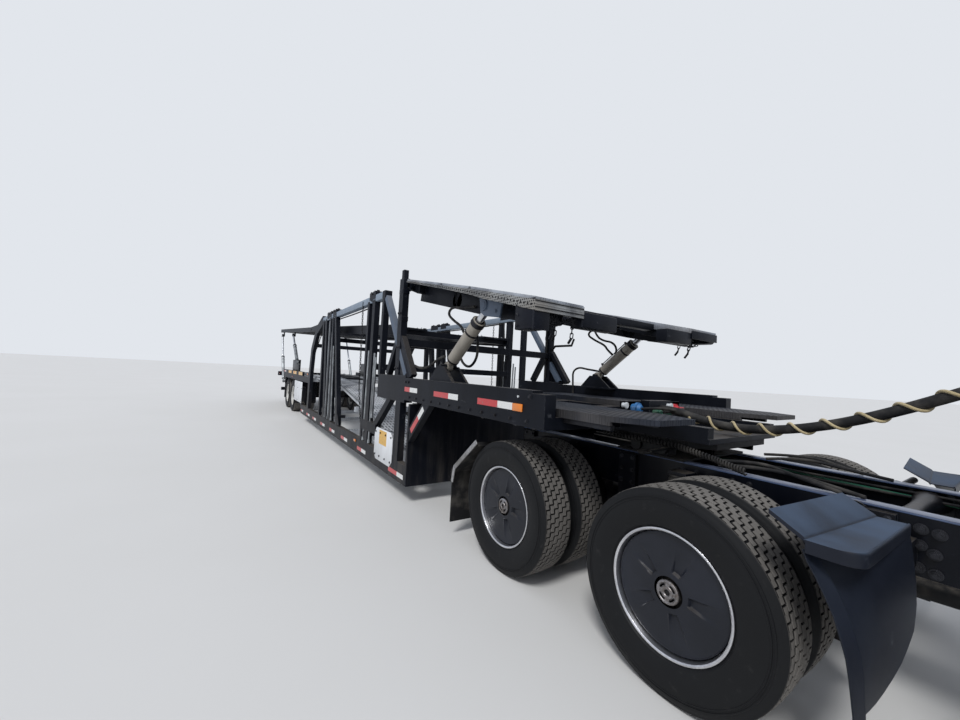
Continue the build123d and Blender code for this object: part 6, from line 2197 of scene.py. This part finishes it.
def legs(bm):
    """The landing legs' gearboxes, crank and cross shaft."""
    for y in (0.44, -0.44):
        boxes(bm, (-3.165, y - 0.055, 0.96, -3.12, y + 0.055, 1.11, 0.01))
        for z in (0.5, 0.62, 0.9):
            for dy in (-0.045, 0.045):
                bolt(bm, at(-3.131, y + dy, z), (-1, 0, 0), 0.01)
    rods(bm, (-3.145, -0.4, 1.035, -3.145, 0.4, 1.035, 0.014, 16), (-3.145, 0.49, 1.035, -3.145, 0.86,
        1.035, 0.012, 16), (-3.145, 0.855, 1.035, -3.145, 0.865, 0.795, 0.012, 16), (-3.145, 0.865, 0.8,
        -3.145, 0.985, 0.8, 0.015, 16))


def air_springs(bm):
    """Air springs over the trailer's axles."""
    for x in (-12.5, -13.7):
        lathe_z(bm, [(0.64, 0.0001), (0.641, 0.085), (0.668, 0.092), (0.7, 0.108), (0.76, 0.112),
            (0.8, 0.104), (0.812, 0.112), (0.87, 0.114), (0.915, 0.104), (0.93, 0.088), (0.931, 0.0001)],
            at(x - 0.26, 0.475, 0), 32)


def axle_gear(bm):
    """Trailing arms, dampers and brake chambers of the trailer's axles."""
    for x in (-12.5, -13.7):
        boxes(bm, (x - 0.34, 0.425, 0.585, x + 0.02, 0.525, 0.64, 0.01), (x - 0.36, 0.4, 0.93, x - 0.16,
            0.55, 1.02, 0.006))
        rods(bm, (x + 0.1, 0.4, 0.6, x + 0.18, 0.4, 0.95, 0.026, 18), (x + 0.15, 0.4, 0.82, x + 0.185, 0.4,
            0.97, 0.036, 18), (x + 0.2, 0.26, 0.6, x + 0.33, 0.3, 0.6, 0.08, 28), (x + 0.25, 0.276, 0.6,
            x + 0.27, 0.282, 0.6, 0.092, 28), (x + 0.05, 0.24, 0.6, x + 0.2, 0.26, 0.6, 0.012, 12),
            (x + 0.05, 0.16, 0.56, x + 0.05, 0.6, 0.56, 0.016, 14))


def flaps(bm):
    x = -14.64
    boxes(bm, (x - 0.01, 0.6, 0.25, x - 0.003, 1.15, 0.9, 0.002))
    for y in steps_of(7, 0.64, 0.07):
        boxes(bm, (x - 0.014, y, 0.3, x - 0.009, y + 0.02, 0.86, 0.001))


def lower_deck_gear(bm):
    """Guide rails along the lower deck, and its rear tie-down rings."""
    for x0, z0, x1, z1 in ((-4.3, 0.668, -5.4, 0.888), (-5.4, 0.888, -6.9, 1.148), (-6.9, 1.148, -9.3,
            1.208), (-9.3, 1.208, -11.4, 1.208)):
        for y in (0.572, 1.108):
            bar(bm, at(x0, y, z0), at(x1, y, z1), 0.026, 0.022, 0.004)
    for x in (-11.95, -12.75, -13.55, -14.35, -15.15, -15.95):
        for y in (0.6, 1.02):
            rods(bm, (x, y - 0.03, 1.199, x, y + 0.03, 1.199, 0.012, 12))
            tube_ring(bm, at(x, y, 1.206), (0, 1, 0), 0.02, 0.005, 20, 8)


def mid_deck_rings(bm):
    """Tie-down rings along the middle upper deck."""
    for x in steps_of(24, -7.95, 0.155):
        z = 2.075 + (x + 4.25) * (2.33 - 2.075) / (-8.08 + 4.25) + 0.058
        for y in (0.56, 0.98):
            tube_ring(bm, at(x, y, z + 0.012), (0, 1, 0), 0.014, 0.004, 12, 6)


def rear_rings(bm):
    slope = (2.8 - 2.4) / (-16.25 + 9.45)
    for x in steps_of(32, -9.9, -0.195):
        z = 2.4 + (x + 9.45) * slope + 0.06
        for y in (0.64, 1.16):
            tube_ring(bm, at(x, y, z + 0.01), (0, 1, 0), 0.014, 0.004, 12, 6)


def make_trailer_gear():
    form("leg_gear", DARK_STEEL, "trailer", "trailer_black", legs, sides=1)
    form("trailer_air_springs", BLACK_RUBBER, "trailer", "line_wrap", air_springs)
    form("trailer_axle_gear", CAST_PAINT, "trailer", "cast_metal", axle_gear)
    form("trailer_flaps", BLACK_RUBBER, "trailer", "line_flap", flaps)
    form("deck_edges", GALVANISED, "trailer", "tank_metal", lower_deck_gear)
    form("deck_rings", GALVANISED, "mid_deck", "tank_metal", mid_deck_rings)
    form("rear_deck_rings", GALVANISED, "rear_deck", "tank_metal", rear_rings)


# Stage and light


def make_stage():
    bm = bmesh.new()
    bmesh.ops.create_circle(bm, cap_ends=True, segments=64, radius=180)
    mesh = bpy.data.meshes.new("floor")
    bm.to_mesh(mesh)
    bm.free()
    mesh.materials.append(floor_finish())
    floor = bpy.data.objects.new("floor", mesh)
    scene.collection.objects.link(floor)


def make_light():
    """A pale sky for what the camera and gloss see, a dimmer one for light, and one soft sun."""
    world = bpy.data.worlds.new("studio")
    scene.world = world
    world.use_nodes = True
    links = world.node_tree.links
    world.node_tree.nodes.clear()

    def add(kind):
        return world.node_tree.nodes.new("ShaderNode" + kind)

    seen = add("Background")
    seen.inputs["Color"].default_value = rgb(226, 230, 236)
    lit = add("Background")
    lit.inputs["Color"].default_value = rgb(226, 232, 244)
    lit.inputs["Strength"].default_value = 0.75
    path = add("LightPath")
    either = add("Math")
    either.operation = "MAXIMUM"
    links.new(path.outputs["Is Camera Ray"], either.inputs[0])
    links.new(path.outputs["Is Transmission Ray"], either.inputs[1])
    choose = add("MixShader")
    for spot, source in enumerate((either, lit, seen)):
        links.new(source.outputs[0], choose.inputs[spot])
    links.new(choose.outputs[0], add("OutputWorld").inputs[0])
    data = bpy.data.lights.new("sun", "SUN")
    data.energy = 2.0
    data.angle = radians(14)
    sun = bpy.data.objects.new("sun", data)
    sun.rotation_euler = (radians(38), radians(12), radians(20))
    scene.collection.objects.link(sun)


def main():
    make_camera()
    make_line_bundle()
    make_stage()
    make_light()
    dress_nodes()
    make_wheels()
    make_fenders()
    make_head_ramp()
    make_side_frames()
    make_tapes()
    make_cylinder_fittings()
    make_hoses()
    make_nose()
    make_frame_gear()
    make_cab_outside()
    make_front()
    make_side_gear()
    make_inside()
    make_seats()
    make_trailer_gear()
    scene.view_settings.view_transform = "Standard"


main()
